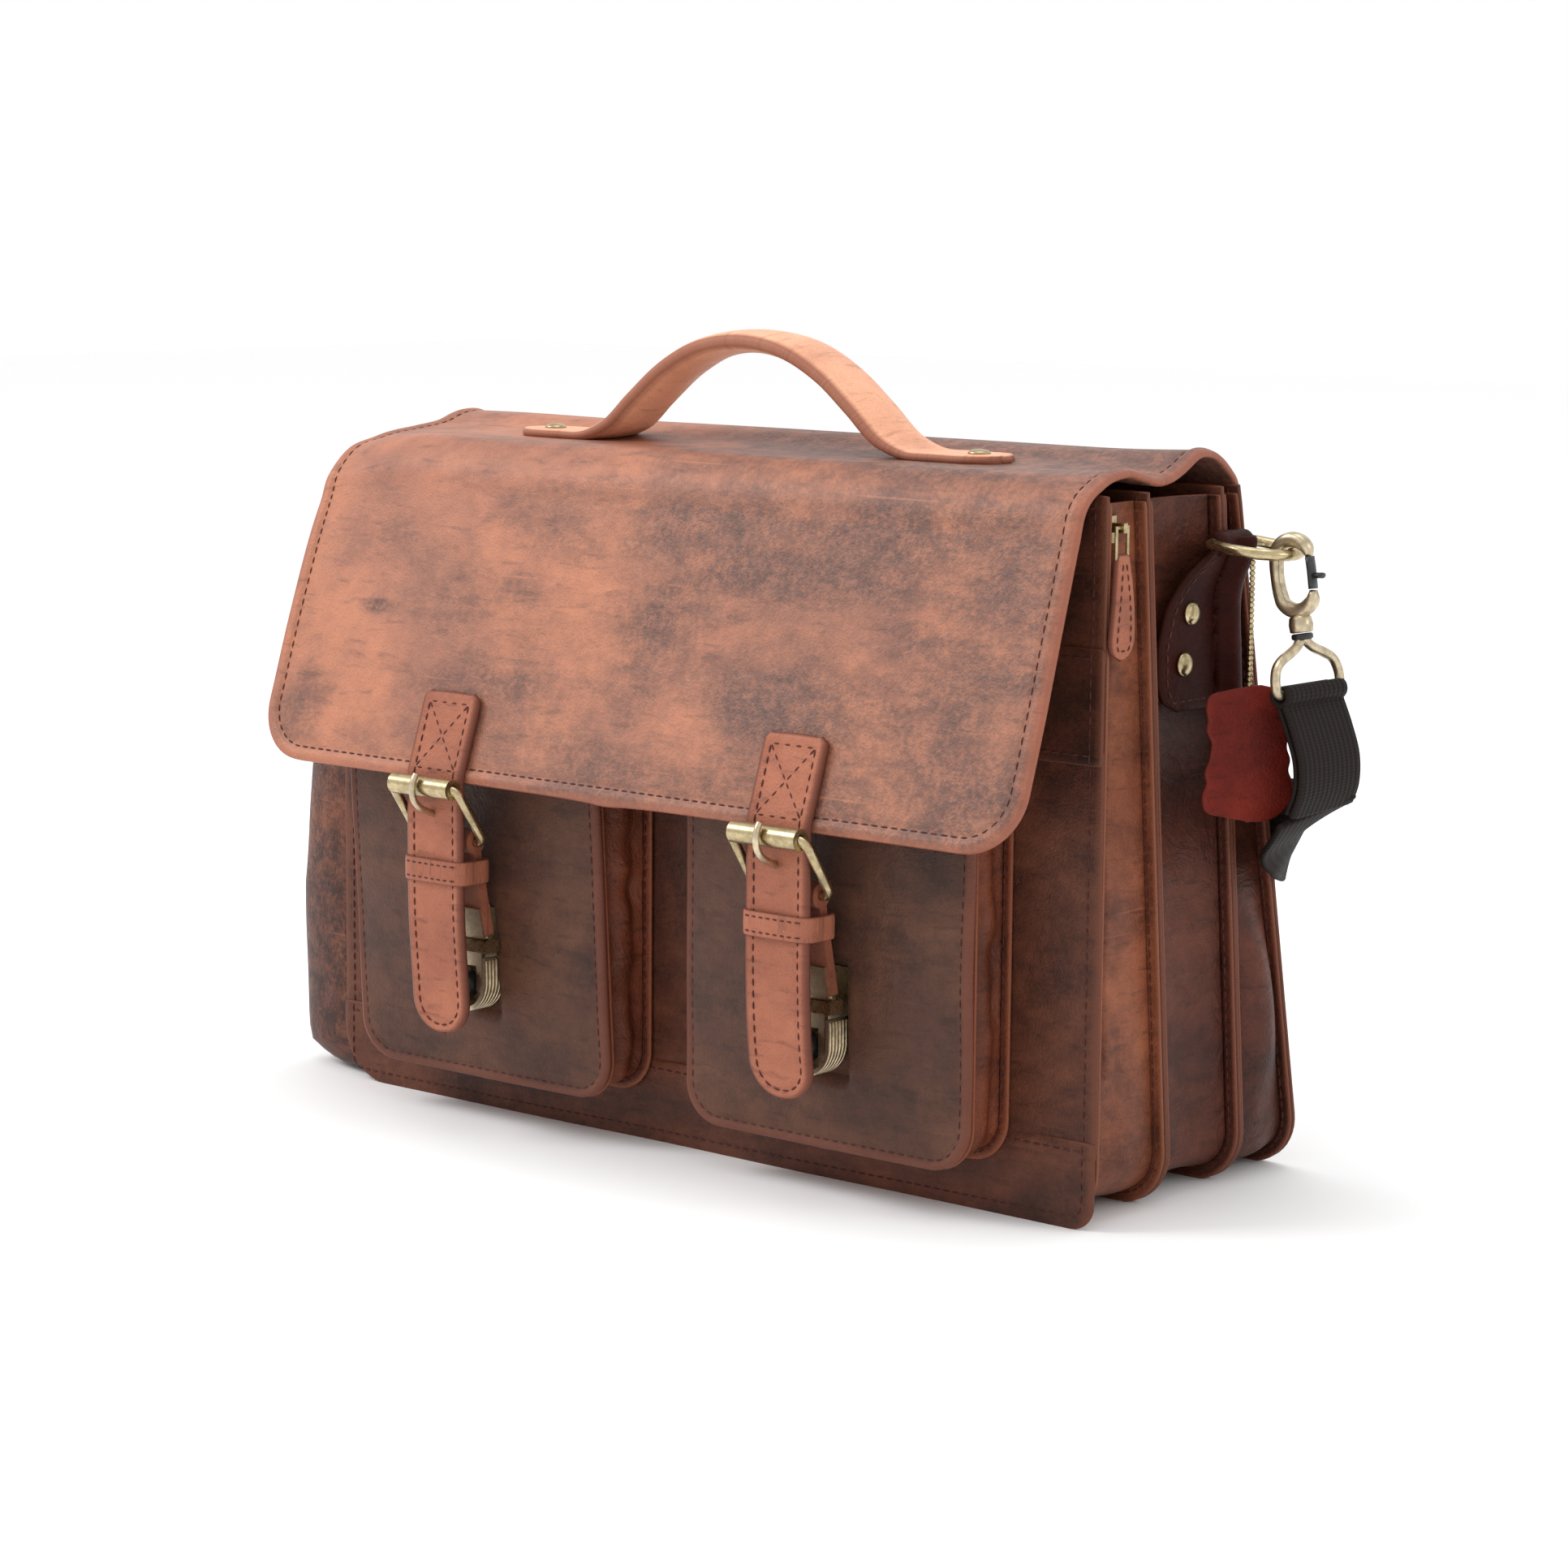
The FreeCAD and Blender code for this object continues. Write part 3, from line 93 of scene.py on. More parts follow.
camera_at = (1.0638, -1.2326, 0.3856)
camera_yaw, camera_pitch, camera_roll = np.radians((40.3, 8.4, 0.5))
lens_mm = 93.12
forward = Vector((-np.sin(camera_yaw) * np.cos(camera_pitch), np.cos(camera_yaw) * np.cos(camera_pitch),
                  -np.sin(camera_pitch)))
level = Vector((np.cos(camera_yaw), np.sin(camera_yaw), 0))
upright = level.cross(forward)
right = level * np.cos(camera_roll) + upright * np.sin(camera_roll)
above = upright * np.cos(camera_roll) - level * np.sin(camera_roll)
camera = bpy.data.objects.new("camera", bpy.data.cameras.new("camera"))
bpy.context.scene.collection.objects.link(camera)
camera.matrix_world = Matrix((
    (right.x, above.x, -forward.x, camera_at[0]),
    (right.y, above.y, -forward.y, camera_at[1]),
    (right.z, above.z, -forward.z, camera_at[2]),
    (0, 0, 0, 1)))
camera.data.lens, camera.data.sensor_width = lens_mm, 36
bpy.context.scene.camera = camera


# --- dividers and back panel ----------------------------------------------------------------
# Three upright leaves of dark waxed hide lean forward between the gussets. Each is cut flat with
# rounded lower corners, hemmed along the top and sewn to the gussets along its edges.
def unit(vectors):
    """Vectors divided by their own lengths."""
    return vectors / np.maximum(np.linalg.norm(vectors, axis=-1, keepdims=True), 1e-12)


def facing(spread, s, t, step=2e-4):
    """Unit normal of a spread-out piece: its way down crossed with its way across."""
    down = spread(s, t + step) - spread(s, t - step)
    across = spread(s + step, t) - spread(s - step, t)
    return unit(np.cross(down, across))


def ripple(s, t, seed, length, high):
    """Slow hand-made unevenness: seven plane waves of random heading, summed."""
    draw = np.random.default_rng(seed)
    total = 0
    for _ in range(7):
        heading, phase = draw.uniform(0, 2 * np.pi), draw.uniform(0, 2 * np.pi)
        stretch = draw.uniform(0.6, 1.7)
        run = s * np.cos(heading) + t * np.sin(heading)
        total = total + np.sin(2 * np.pi * run * stretch / length + phase)
    return total * high / 3


def cut_rows(half, length, corner, straight=40, turn=12):
    """Rows of a leaf with rounded lower corners: depth down it and half width, which follows the corner's
    circle: half - r + r cos(a) at depth length - r + r sin(a)."""
    angle = np.linspace(0, np.pi / 2, turn + 1)[1:]
    side, foot = np.linspace(0, length - corner, straight), length - corner + corner * np.sin(angle)
    down = np.concatenate([side, foot])
    wide = np.concatenate([np.full(straight, half), half - corner + corner * np.cos(angle)])
    return down, wide


def inset_of(s, t, half, length, corner):
    """Distance in from the cut edge of such a leaf, its top edge not counted."""
    side, foot = half - np.abs(s), length - t
    rounded = corner - np.hypot(np.maximum(corner - side, 0), np.maximum(corner - foot, 0))
    return np.where((side < corner) & (foot < corner), rounded, np.minimum(side, foot))


def edge_line(half, length, corner, inset, start=0.0, count=40):
    """The stitch line of such a leaf: down one side, round the foot and up the other at a constant inset."""
    reach, turn = half - inset, max(corner - inset, 1e-4)
    angle = np.linspace(0, np.pi / 2, count)
    low = length - inset - turn
    one = np.stack([reach - turn + turn * np.cos(angle), low + turn * np.sin(angle)], -1)
    other = one[::-1] * (-1, 1)
    return np.concatenate([[(reach, start)], one, other, [(-reach, start)]])


def leaf(spread, s, t, thick, swell=0.0, crown=0.0):
    """A closed leaf of leather over a grid: outer skin half a thickness out along the normal plus the swell,
    inner skin half in plus the crown, joined round the edge by a rim of three rounding loops."""
    face, middle = facing(spread, s, t), spread(s, t)
    half = np.broadcast_to(np.asarray(thick) / 2, s.shape)[..., None]
    outer = middle + face * (half + np.broadcast_to(swell, s.shape)[..., None])
    inner = middle - face * (half + np.broadcast_to(crown, s.shape)[..., None])
    rows, cols = s.shape
    grid = np.arange(rows * cols).reshape(rows, cols)
    loop = np.concatenate([grid[0, :-1], grid[:-1, -1], grid[-1, :0:-1], grid[:0:-1, 0]])
    row, col = np.divmod(loop, cols)
    within = grid[np.clip(row, 1, rows - 2), np.clip(col, 1, cols - 2)]
    flat_mid, flat_face, flat_half = middle.reshape(-1, 3), face.reshape(-1, 3), half.reshape(-1, 1)
    way = flat_mid[loop] - flat_mid[within]
    way = unit(way - flat_face[loop] * np.sum(way * flat_face[loop], -1, keepdims=True))
    rims = [flat_mid[loop] + flat_half[loop] * (way * np.cos(a) + flat_face[loop] * np.sin(a))
            for a in np.radians((45, 0, -45))]
    points = np.concatenate([outer.reshape(-1, 3), inner.reshape(-1, 3), *rims])
    a = grid[:-1, :-1].ravel()
    skin = np.stack([a, a + cols, a + cols + 1, a + 1], -1)
    count, around = rows * cols, len(loop)
    rings = [loop] + [2 * count + k * around + np.arange(around) for k in range(3)] + [loop + count]
    bands = [np.stack([h, np.roll(h, -1), np.roll(g, -1), g], -1) for h, g in zip(rings, rings[1:])]
    faces = np.concatenate([skin, skin[:, ::-1] + count, *bands])
    flat = np.stack([s, t], -1).reshape(-1, 2)
    return {"points": points, "faces": faces, "flat": np.concatenate([flat, flat, *[flat[loop]] * 3]),
            "rim": np.concatenate([np.zeros(2 * count), np.ones(3 * around)]), "cells": (s.shape, loop)}


def thread(spread, line, lift, pitch=0.0046, long=0.0036, thick=0.0008, finish=1):
    """Stitches along a flat line laid on a spread-out piece: each a hexagonal bead whose radius and height
    fall off as sqrt(1 - a*a) towards both ends, raised on the outer skin. They take the piece's second
    finish, its thread."""
    line = np.array(line, float)
    steps = np.linalg.norm(np.diff(line, axis=0), axis=1)
    run = np.concatenate([[0], np.cumsum(steps)])
    count = max(int(run[-1] / pitch), 1)
    middle = (np.arange(count) + 0.5) * run[-1] / count
    along = np.array([-1, -0.7, 0, 0.7, 1.0])
    at = middle[:, None] + along * long / 2
    s, t = (np.interp(at, run, line[:, k]) for k in (0, 1))
    face = facing(spread, s, t)
    spot = spread(s, t) + face * lift
    heading = unit(np.repeat((spot[:, 4] - spot[:, 0])[:, None], 5, 1))
    side = unit(np.cross(face, heading))
    fade = np.sqrt(np.maximum(1 - along ** 2, 0.05)) * thick / 2
    turn = np.radians(np.arange(6) * 60)[:, None]
    ring = (side[:, :, None] * np.cos(turn) + face[:, :, None] * np.sin(turn)) * fade[None, :, None, None]
    points = spot[:, :, None] + ring + face[:, :, None] * (fade[None, :, None, None] - thick / 4)
    k = np.arange(6)
    belt = np.stack([k, (k + 1) % 6, 6 + (k + 1) % 6, 6 + k], -1)
    ends = np.array([[0, 3, 2, 1], [0, 5, 4, 3], [24, 25, 26, 27], [24, 27, 28, 29]])
    one = np.concatenate([*[belt + 6 * r for r in range(4)], ends])
    faces = (one[None] + 30 * np.arange(count)[:, None, None]).reshape(-1, 4)
    flat = np.repeat(np.stack([s, t], -1)[:, :, None], 6, 2).reshape(-1, 2)
    return {"points": points.reshape(-1, 3), "faces": faces, "flat": flat, "rim": np.zeros(30 * count),
            "finish": finish}


def build(name, lots, materials, body=None, offset=(0, 0), stain=None):
    """One object from several lots of points and faces. Lot k takes material lots[k]['finish']; the flat
    coordinates become its UV map, rim its edge wear and stain its darkening: stains and painted shade."""
    start, points, faces, finish, flat, rim = 0, [], [], [], [], []
    for lot in lots:
        points.append(lot["points"])
        faces.append(lot["faces"] + start)
        finish.append(np.full(len(lot["faces"]), lot.get("finish", 0)))
        flat.append(lot.get("flat", lot["points"][:, (0, 2)]) + offset)
        rim.append(lot.get("rim", np.zeros(len(lot["points"]))))
        start += len(lot["points"])
    points, faces, finish, flat, rim = map(np.concatenate, (points, faces, finish, flat, rim))
    mesh = bpy.data.meshes.new(name)
    mesh.vertices.add(len(points))
    mesh.vertices.foreach_set("co", points.astype(np.float32).ravel())
    mesh.loops.add(faces.size)
    mesh.loops.foreach_set("vertex_index", faces.astype(np.int32).ravel())
    mesh.polygons.add(len(faces))
    mesh.polygons.foreach_set("loop_start", np.arange(0, faces.size, 4, dtype=np.int32))
    mesh.polygons.foreach_set("material_index", finish.astype(np.int32))
    mesh.polygons.foreach_set("use_smooth", np.ones(len(faces), bool))
    mesh.uv_layers.new(name="UVMap").data.foreach_set("uv", flat[faces.ravel()].astype(np.float32).ravel())
    mesh.attributes.new("rim", "FLOAT", "POINT").data.foreach_set("value", rim.astype(np.float32))
    # darkening per point from real stains and painted shade
    shade = np.zeros(len(points)) if stain is None else np.clip(stain(flat - offset), 0, 1)
    mesh.attributes.new("stain", "FLOAT", "POINT").data.foreach_set("value", shade.astype(np.float32))
    mesh.update(calc_edges=True)
    for material in materials:
        mesh.materials.append(material)
    item = bpy.data.objects.new(name, mesh)
    bpy.context.scene.collection.objects.link(item)
    if body:
        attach(item, body)
    return item


def socket(group, name, way, kind, value=None):
    """A named socket on a node group."""
    made = group.interface.new_socket(name, in_out=way, socket_type=kind)
    if value is not None:
        made.default_value = value


def lay(tree, kind, settings=None, **inputs):
    """A node with its settings and its inputs, each a value or another node's output. An input is named
    with _ for a space, or i and its number."""
    item = tree.nodes.new(kind)
    for name, value in (settings or {}).items():
        setattr(item, name, value)
    for name, value in inputs.items():
        numbered = name[0] == "i" and name[1:].isdigit()
        target = item.inputs[int(name[1:]) if numbered else name.replace("_", " ")]
        if isinstance(value, bpy.types.NodeSocket):
            tree.links.new(value, target)
        else:
            target.default_value = value
    return item


def math_of(tree, operation, one, two=0.0, clamp=False):
    """The result of one sum on two values."""
    settings = {"operation": operation, "use_clamp": clamp}
    return lay(tree, "ShaderNodeMath", settings, i0=one, i1=two).outputs[0]


def times(tree, one, two):
    """Two values multiplied."""
    # A spread for webbing along a smooth line, its width turning as the given ways do.
    return math_of(tree, "MULTIPLY", one, two)


def plus(tree, one, two):
    """Two values added."""
    return math_of(tree, "ADD", one, two)


def stretched(tree, where, scale, turn, shift=(0, 0, 0)):
    """A place turned and scaled, so that a pattern read there is drawn out."""
    return lay(tree, "ShaderNodeMapping", None, Vector=where, Scale=scale, Rotation=(0, 0, turn),
               Location=shift).outputs[0]


def cloud(tree, where, scale, detail=4.0, rough=0.6, swirl=0.0):
    """A noise value at a place."""
    return lay(tree, "ShaderNodeTexNoise", None, Vector=where, Scale=scale, Detail=detail, Roughness=rough,
               Distortion=swirl).outputs["Fac"]


def between(tree, value, low, high):
    """0 below low, 1 above high, a smooth step in between."""
    return lay(tree, "ShaderNodeMapRange", {"interpolation_type": "SMOOTHSTEP"}, Value=value, From_Min=low,
               From_Max=high).outputs["Result"]


def tint(tree, share, one, two):
    """One colour laid over another by a share."""
    node = lay(tree, "ShaderNodeMix", {"data_type": "RGBA"})
    for spot, value in ((0, share), (6, one), (7, two)):
        if isinstance(value, bpy.types.NodeSocket):
            tree.links.new(value, node.inputs[spot])
        else:
            node.inputs[spot].default_value = value
    return node.outputs[2]


def waxed_hide_group():
    """Waxed pull-up leather: pale pull-up over mid brown, dark oily clouds broken into specks, thin light
    scratches, a pebbled grain and soft creases, with its own colour along the cut edge."""
    group = bpy.data.node_groups.new("waxed_hide", "ShaderNodeTree")
    for name, kind, value in (("Place", "NodeSocketVector", None), ("Light", "NodeSocketColor", None),
                              ("Middle", "NodeSocketColor", None), ("Dark", "NodeSocketColor", None),
                              ("Edge", "NodeSocketColor", None), ("Oil", "NodeSocketFloat", 0.5),
                              ("Crease", "NodeSocketFloat", 0.5), ("Rim", "NodeSocketFloat", 0.0),
                              ("Stain", "NodeSocketFloat", 0.0)):
        socket(group, name, "INPUT", kind, value)
    socket(group, "Color", "OUTPUT", "NodeSocketColor")
    socket(group, "Roughness", "OUTPUT", "NodeSocketFloat")
    socket(group, "Normal", "OUTPUT", "NodeSocketVector")
    inside = group.nodes.new("NodeGroupInput").outputs
    where = inside["Place"]
    cloudy = cloud(group, where, 16, 6, 0.62, 0.5)
    streaks = cloud(group, stretched(group, where, (9, 34, 20), 0.12), 1.0, 5, 0.65, 0.4)
    speck = cloud(group, where, 420, 3, 0.7)
    mottle = cloud(group, where, 95, 5, 0.72)
    tone = plus(group, times(group, between(group, cloudy, 0.36, 0.66), 0.6), 0.2)
    color = tint(group, tone, inside["Light"], inside["Middle"])
    color = tint(group, times(group, between(group, mottle, 0.35, 0.75), 0.55), color, inside["Middle"])
    oily = plus(group, times(group, streaks, 0.6), times(group, cloudy, 0.4))
    # the stain-and-shade input adds darkening: real stains and painted shade
    oily = plus(group, oily, times(group, inside["Stain"], 0.34))
    limit = math_of(group, "SUBTRACT", 0.74, times(group, inside["Oil"], 0.34))
    oily = between(group, math_of(group, "SUBTRACT", oily, limit), -0.15, 0.19)
    broken = between(group, plus(group, times(group, speck, 0.5), times(group, mottle, 0.5)), 0.36, 0.60)
    share = times(group, oily, plus(group, times(group, broken, 0.55), 0.38))
    color = tint(group, share, color, inside["Dark"])
    pitted = between(group, cloud(group, where, 1300, 2, 0.6), 0.56, 0.70)
    color = tint(group, times(group, pitted, 0.42), color, inside["Dark"])
    smear = cloud(group, stretched(group, where, (60, 260, 1), 0.25), 1.0, 4, 0.6, 0.3)
    color = tint(group, times(group, between(group, smear, 0.54, 0.70), 0.38), color, inside["Dark"])
    for turn, shift in ((0.5, 3.0), (-0.9, 8.0)):
        line = cloud(group, stretched(group, where, (14, 520, 1), turn, (shift, shift, 0)), 1.0, 1, 0.4)
        color = tint(group, times(group, between(group, line, 0.735, 0.80), 0.35), color, inside["Light"])
    color = tint(group, times(group, inside["Rim"], 0.85), color, inside["Edge"])
    pores = lay(group, "ShaderNodeTexVoronoi", {"feature": "SMOOTH_F1"}, Vector=where, Scale=1150,
                Smoothness=0.6)
    height = plus(group, times(group, pores.outputs["Distance"], 0.16), times(group, speck, 0.16))
    height = plus(group, height, times(group, cloud(group, where, 62, 4, 0.55, 1.6), inside["Crease"]))
    bump = lay(group, "ShaderNodeBump", None, Height=height, Distance=0.0013, Strength=0.7)
    rough = plus(group, times(group, mottle, 0.22), 0.40)
    rough = math_of(group, "SUBTRACT", rough, times(group, share, 0.05))
    out = group.nodes.new("NodeGroupOutput")
    for name, value in (("Color", color), ("Roughness", rough), ("Normal", bump.outputs[0])):
        group.links.new(value, out.inputs[name])
    return group


waxed_hide = waxed_hide_group()


def hide(name, light, middle, dark, edge, oil=0.5, crease=0.5, whole=False, gloss=0.24):
    """A leather finish in four tones. It reads the piece's own flat coordinates, or its place in the
    object when whole is set, as on pieces that carry no flat coordinates. Gloss is its mirror share."""
    finish = bpy.data.materials.new(name)
    finish.use_nodes = True
    tree = finish.node_tree
    shader = tree.nodes["Principled BSDF"]
    where = tree.nodes.new("ShaderNodeTexCoord").outputs["Object" if whole else "UV"]
    worn = lay(tree, "ShaderNodeAttribute", {"attribute_name": "rim"}).outputs["Fac"]
    # per-point darkening: real stains and painted shade
    stain_and_shade_read = lay(tree, "ShaderNodeAttribute", {"attribute_name": "stain"}).outputs["Fac"]
    made = lay(tree, "ShaderNodeGroup", {"node_tree": waxed_hide}, Place=where, Light=(*light, 1),
               Middle=(*middle, 1), Dark=(*dark, 1), Edge=(*edge, 1), Oil=oil, Crease=crease, Rim=worn,
               Stain=stain_and_shade_read)
    for output, target in (("Roughness", "Roughness"), ("Normal", "Normal"), ("Color", "Base Color")):
        tree.links.new(made.outputs[output], shader.inputs[target])
    shader.inputs["Specular IOR Level"].default_value = gloss
    return finish


def plain(name, color, rough, metal=0.0):
    """A finish whose colour and roughness vary a little over the surface."""
    finish = bpy.data.materials.new(name)
    finish.use_nodes = True
    tree = finish.node_tree
    shader = tree.nodes["Principled BSDF"]
    where = tree.nodes.new("ShaderNodeTexCoord").outputs["Object"]
    patch = between(tree, cloud(tree, where, 260, 4, 0.7), 0.3, 0.7)
    dim = tuple(c * 0.6 for c in color)
    tree.links.new(tint(tree, patch, (*color, 1), (*dim, 1)), shader.inputs["Base Color"])
    tree.links.new(plus(tree, times(tree, patch, 0.16), rough), shader.inputs["Roughness"])
    shader.inputs["Metallic"].default_value = metal
    return finish


dark_hide = hide("dark_hide", (0.165, 0.052, 0.026), (0.074, 0.0225, 0.0125), (0.0150, 0.0065, 0.0050),
                 (0.13, 0.040, 0.020), oil=0.66, crease=0.5)
red_thread = plain("red_thread", (0.085, 0.016, 0.011), 0.75)

panel_thick = 0.002
upright_corner = 0.023


def stand(node):
    """The front face of an upright leaf: across, and down from its top edge, leaning as the CAD leaf does."""
    low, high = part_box(node)
    tall = high.z - low.z
    top, foot = low.y + panel_thick / 2, high.y - panel_thick / 2

    def spread(s, t):
        rise = high.z - t
        return np.stack([s, foot + (top - foot) * rise / tall, rise], -1)
    return spread, high.x, tall


def upright_leaf(name, node, seed):
    """A divider: flat grid, a shallow unevenness that dies out towards the edges, two rows of stitches."""
    spread, half, tall = stand(node)
    down, wide = cut_rows(half, tall, upright_corner)
    s, t = np.linspace(-1, 1, 70)[None] * wide[:, None], np.repeat(down[:, None], 70, 1)
    inset = inset_of(s, t, half, tall, upright_corner)
    fade = 1 - np.exp(-inset / 0.02)
    uneven = ripple(s, t, seed, 0.12, 0.0005) * fade
    body = leaf(spread, s, t, panel_thick, uneven, -uneven)
    side = thread(spread, edge_line(half, tall, upright_corner, 0.0042), panel_thick / 2)
    hem = thread(spread, [(-half + 0.006, 0.005), (half - 0.006, 0.005)], panel_thick / 2)
    item = build(name, [body, side, hem], [dark_hide, red_thread], "case", (seed * 0.7, seed * 0.3))
    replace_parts(item, node)


for number, panel_node in enumerate(("divider_front", "divider_rear", "back_panel")):
    upright_leaf(panel_node + "_leaf", panel_node, 11 + number)


# --- gussets --------------------------------------------------------------------------------
# Three U-shaped strips of thinner hide form the ends and bottoms of the compartments. Their long
# edges turn out and are sewn to the panels as ridges; between them the leather bellies and creases.
gusset_thick = 0.0014
ridge_deep = 0.0052
gusset_hide = hide("gusset_hide", (0.310, 0.098, 0.044), (0.145, 0.040, 0.019), (0.022, 0.0085, 0.0065),
                   (0.22, 0.072, 0.036), oil=0.60, crease=1.0)
shadow_hide = hide("shadow_hide", (0.135, 0.036, 0.018), (0.060, 0.0165, 0.0095), (0.0125, 0.0050, 0.0042),
                   (0.19, 0.060, 0.032), oil=0.66, crease=1.5)
panel_low, panel_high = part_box("front_panel")
half_wide = panel_high.x
front_face = panel_low.y
gusset_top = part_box("gusset_front")[1].z


def u_path(t, inset, top, half=half_wide, turn=upright_corner):
    """The outline of a panel walked from the right top corner down, along the foot and up the left side,
    moved in by an inset: straight, quarter circle, straight, quarter circle, straight."""
    radius = turn - inset
    side, arc, flat = top - turn, turn * np.pi / 2, 2 * (half - turn)
    marks = np.cumsum([0, side, arc, flat, arc, side])
    a = np.clip((t - marks[1]) / arc, 0, 1) * np.pi / 2
    b = np.clip((t - marks[3]) / arc, 0, 1) * np.pi / 2
    drop, run = np.minimum(t, marks[1]), np.clip(t - marks[2], 0, flat)
    climb = np.maximum(t - marks[4], 0)
    x = half - turn + radius * np.cos(a) - run - radius * np.sin(b)
    z = turn - radius * np.sin(a) + radius * (1 - np.cos(b)) + climb + (side - drop)
    return x, z, marks[-1]


def lean_of(node, rear):
    """Front or rear face of an upright leaf at a height: (y at the floor, y gained per metre up)."""
    low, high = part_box(node)
    slope = (low.y - (high.y - panel_thick)) / (high.z - low.z)
    return high.y - (0 if rear else panel_thick), slope


def gusset(name, node, front, rear, belly, finish, seed, zip_line=None, shade=None):
    """Section carried along the U: a flange along each panel, then straight across the bay, pushed out by
    belly(place along, share across) and creased; the zip's channel is pressed in beside its line. The flat
    coordinates across are lengths walked along the section."""
    total = u_path(np.zeros(1), 0, gusset_top)[2]
    fold = 0.13

    def spread(s, t):
        share = s + 0.5
        edge = np.minimum(share, 1 - share)
        inner = np.clip((share - fold) / (1 - 2 * fold), 0, 1)
        pushed = belly(t, inner, total) + ripple(s * 0.05, t, seed, 0.06, 0.0007) * np.sin(np.pi * inner)
        inset = np.minimum(edge / fold, 1) * ridge_deep - np.where(edge > fold, pushed, 0)
        flat_z = u_path(t, 0, gusset_top)[1]
        begin = front[0] + front[1] * flat_z + gusset_thick / 2 + 0.0001
        end = rear[0] + rear[1] * flat_z - gusset_thick / 2 - 0.0001
        y = begin + (end - begin) * inner
        if zip_line is not None:
            line_y, line_start, line_end, deep = zip_line
            along = np.clip((t - line_start) / 0.004, 0, 1) * np.clip((line_end - t) / 0.004, 0, 1)
            inset = inset + deep * np.exp(-((y - line_y) / 0.0036) ** 6) * along * (edge > fold)
        x, z, _ = u_path(t, inset, gusset_top)
        return np.stack([x, y, np.where(edge > fold, np.maximum(z, 0.003), z)], -1)

    across = np.concatenate([np.linspace(0, fold * 0.97, 5), np.linspace(fold * 1.03, 1 - fold * 1.03, 44),
                             np.linspace(1 - fold * 0.97, 1, 5)]) - 0.5
    along = np.linspace(0, total, 420)
    s, t = np.meshgrid(across[::-1], along)
    body = leaf(spread, s, t, gusset_thick)
    edge = np.abs(body["flat"][:, 0])
    body["rim"] = np.maximum(body["rim"], np.clip((edge - 0.485) / 0.015, 0, 1))
    steps = np.linalg.norm(np.diff(spread(s, t), axis=1), axis=2)
    width = np.concatenate([np.zeros((len(t), 1)), np.cumsum(steps, 1)], 1)
    width = (width - width[:, -1:] / 2).ravel()
    body["flat"][:, 0] = np.concatenate([width, width, *[width[body["cells"][1]]] * 3])
    item = build(name, [body], [finish], "case", (seed * 0.31, seed * 0.17), shade)
    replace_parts(item, node)


def bump_at(t, centre, wide):
    """A bell of height one round a place along the U."""
    return np.exp(-((t - centre) / wide) ** 2)


def front_belly(t, inner, total):
    """Nearly flat on the right where the zip is, pushed far out on the left where nothing holds it in: most
    just above the floor, fading towards the top."""
    height = gusset_top - (total - t)
    left = 0.030 + 0.016 * np.clip((0.20 - height) / 0.12, 0, 1)
    left = left * np.clip((height + 0.012) / 0.030, 0, 1) ** 2 * np.clip((total - t) / 0.09, 0, 1) ** 0.7
    right_low = bump_at(t, gusset_top - 0.045, 0.03)
    return np.sin(np.pi * inner ** 0.75) ** 0.6 * left + np.sin(np.pi * inner) ** 0.7 * 0.002 * right_low


def middle_belly(t, inner, total):
    """Drawn in a little between its ridges on both ends."""
    return -0.004 * np.sin(np.pi * inner) * (1 - bump_at(t, total / 2, 0.2))


def rear_belly(t, inner, total):
    """Drawn in near the top, swollen low down by the weight inside."""
    low = bump_at(t, gusset_top - 0.07, 0.05) + bump_at(t, total - gusset_top + 0.07, 0.05)
    high = bump_at(t, 0.05, 0.10) + bump_at(t, total - 0.05, 0.10)
    return np.sin(np.pi * inner) * (0.009 * low - 0.004 * high)


coil_low, coil_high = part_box("zip_coil")
zip_low, zip_high, zip_y = coil_low.z, coil_high.z, (coil_low.y + coil_high.y) / 2
first, second, last = (lean_of(n, False) for n in ("divider_front", "divider_rear", "back_panel"))
front_rear = (front_face + panel_thick, 0.0)
first_rear, second_rear = (lean_of(n, True) for n in ("divider_front", "divider_rear"))
channel = (zip_y, gusset_top - zip_high - 0.001, gusset_top - zip_low + 0.001, 0.0030)
# the front gusset's left part is darkened by 0.6 through its shade argument: painted shade
gusset("gusset_front_strip", "gusset_front", front_rear, first, front_belly, gusset_hide, 21, channel,
       lambda flat: (flat[:, 1] > 2 * half_wide) * 0.6)
gusset("gusset_middle_strip", "gusset_middle", first_rear, second, middle_belly, shadow_hide, 22)
gusset("gusset_rear_strip", "gusset_rear", second_rear, last, rear_belly, shadow_hide, 23)


# --- front of the case ----------------------------------------------------------------------
# Four bands of hide make the front. The foot band and the middle band lie over their neighbours,
# are turned under along their edges and sewn down with one row of stitches each.
band_over = 0.0009
band_thick = 0.0018
band_lap = 0.004
corner_left, corner_right = 0.024, 0.010
# the top left corner has sagged: how deep, and how far in from the flap's edge
sag_deep, sag_wide = 0.0085, 0.045


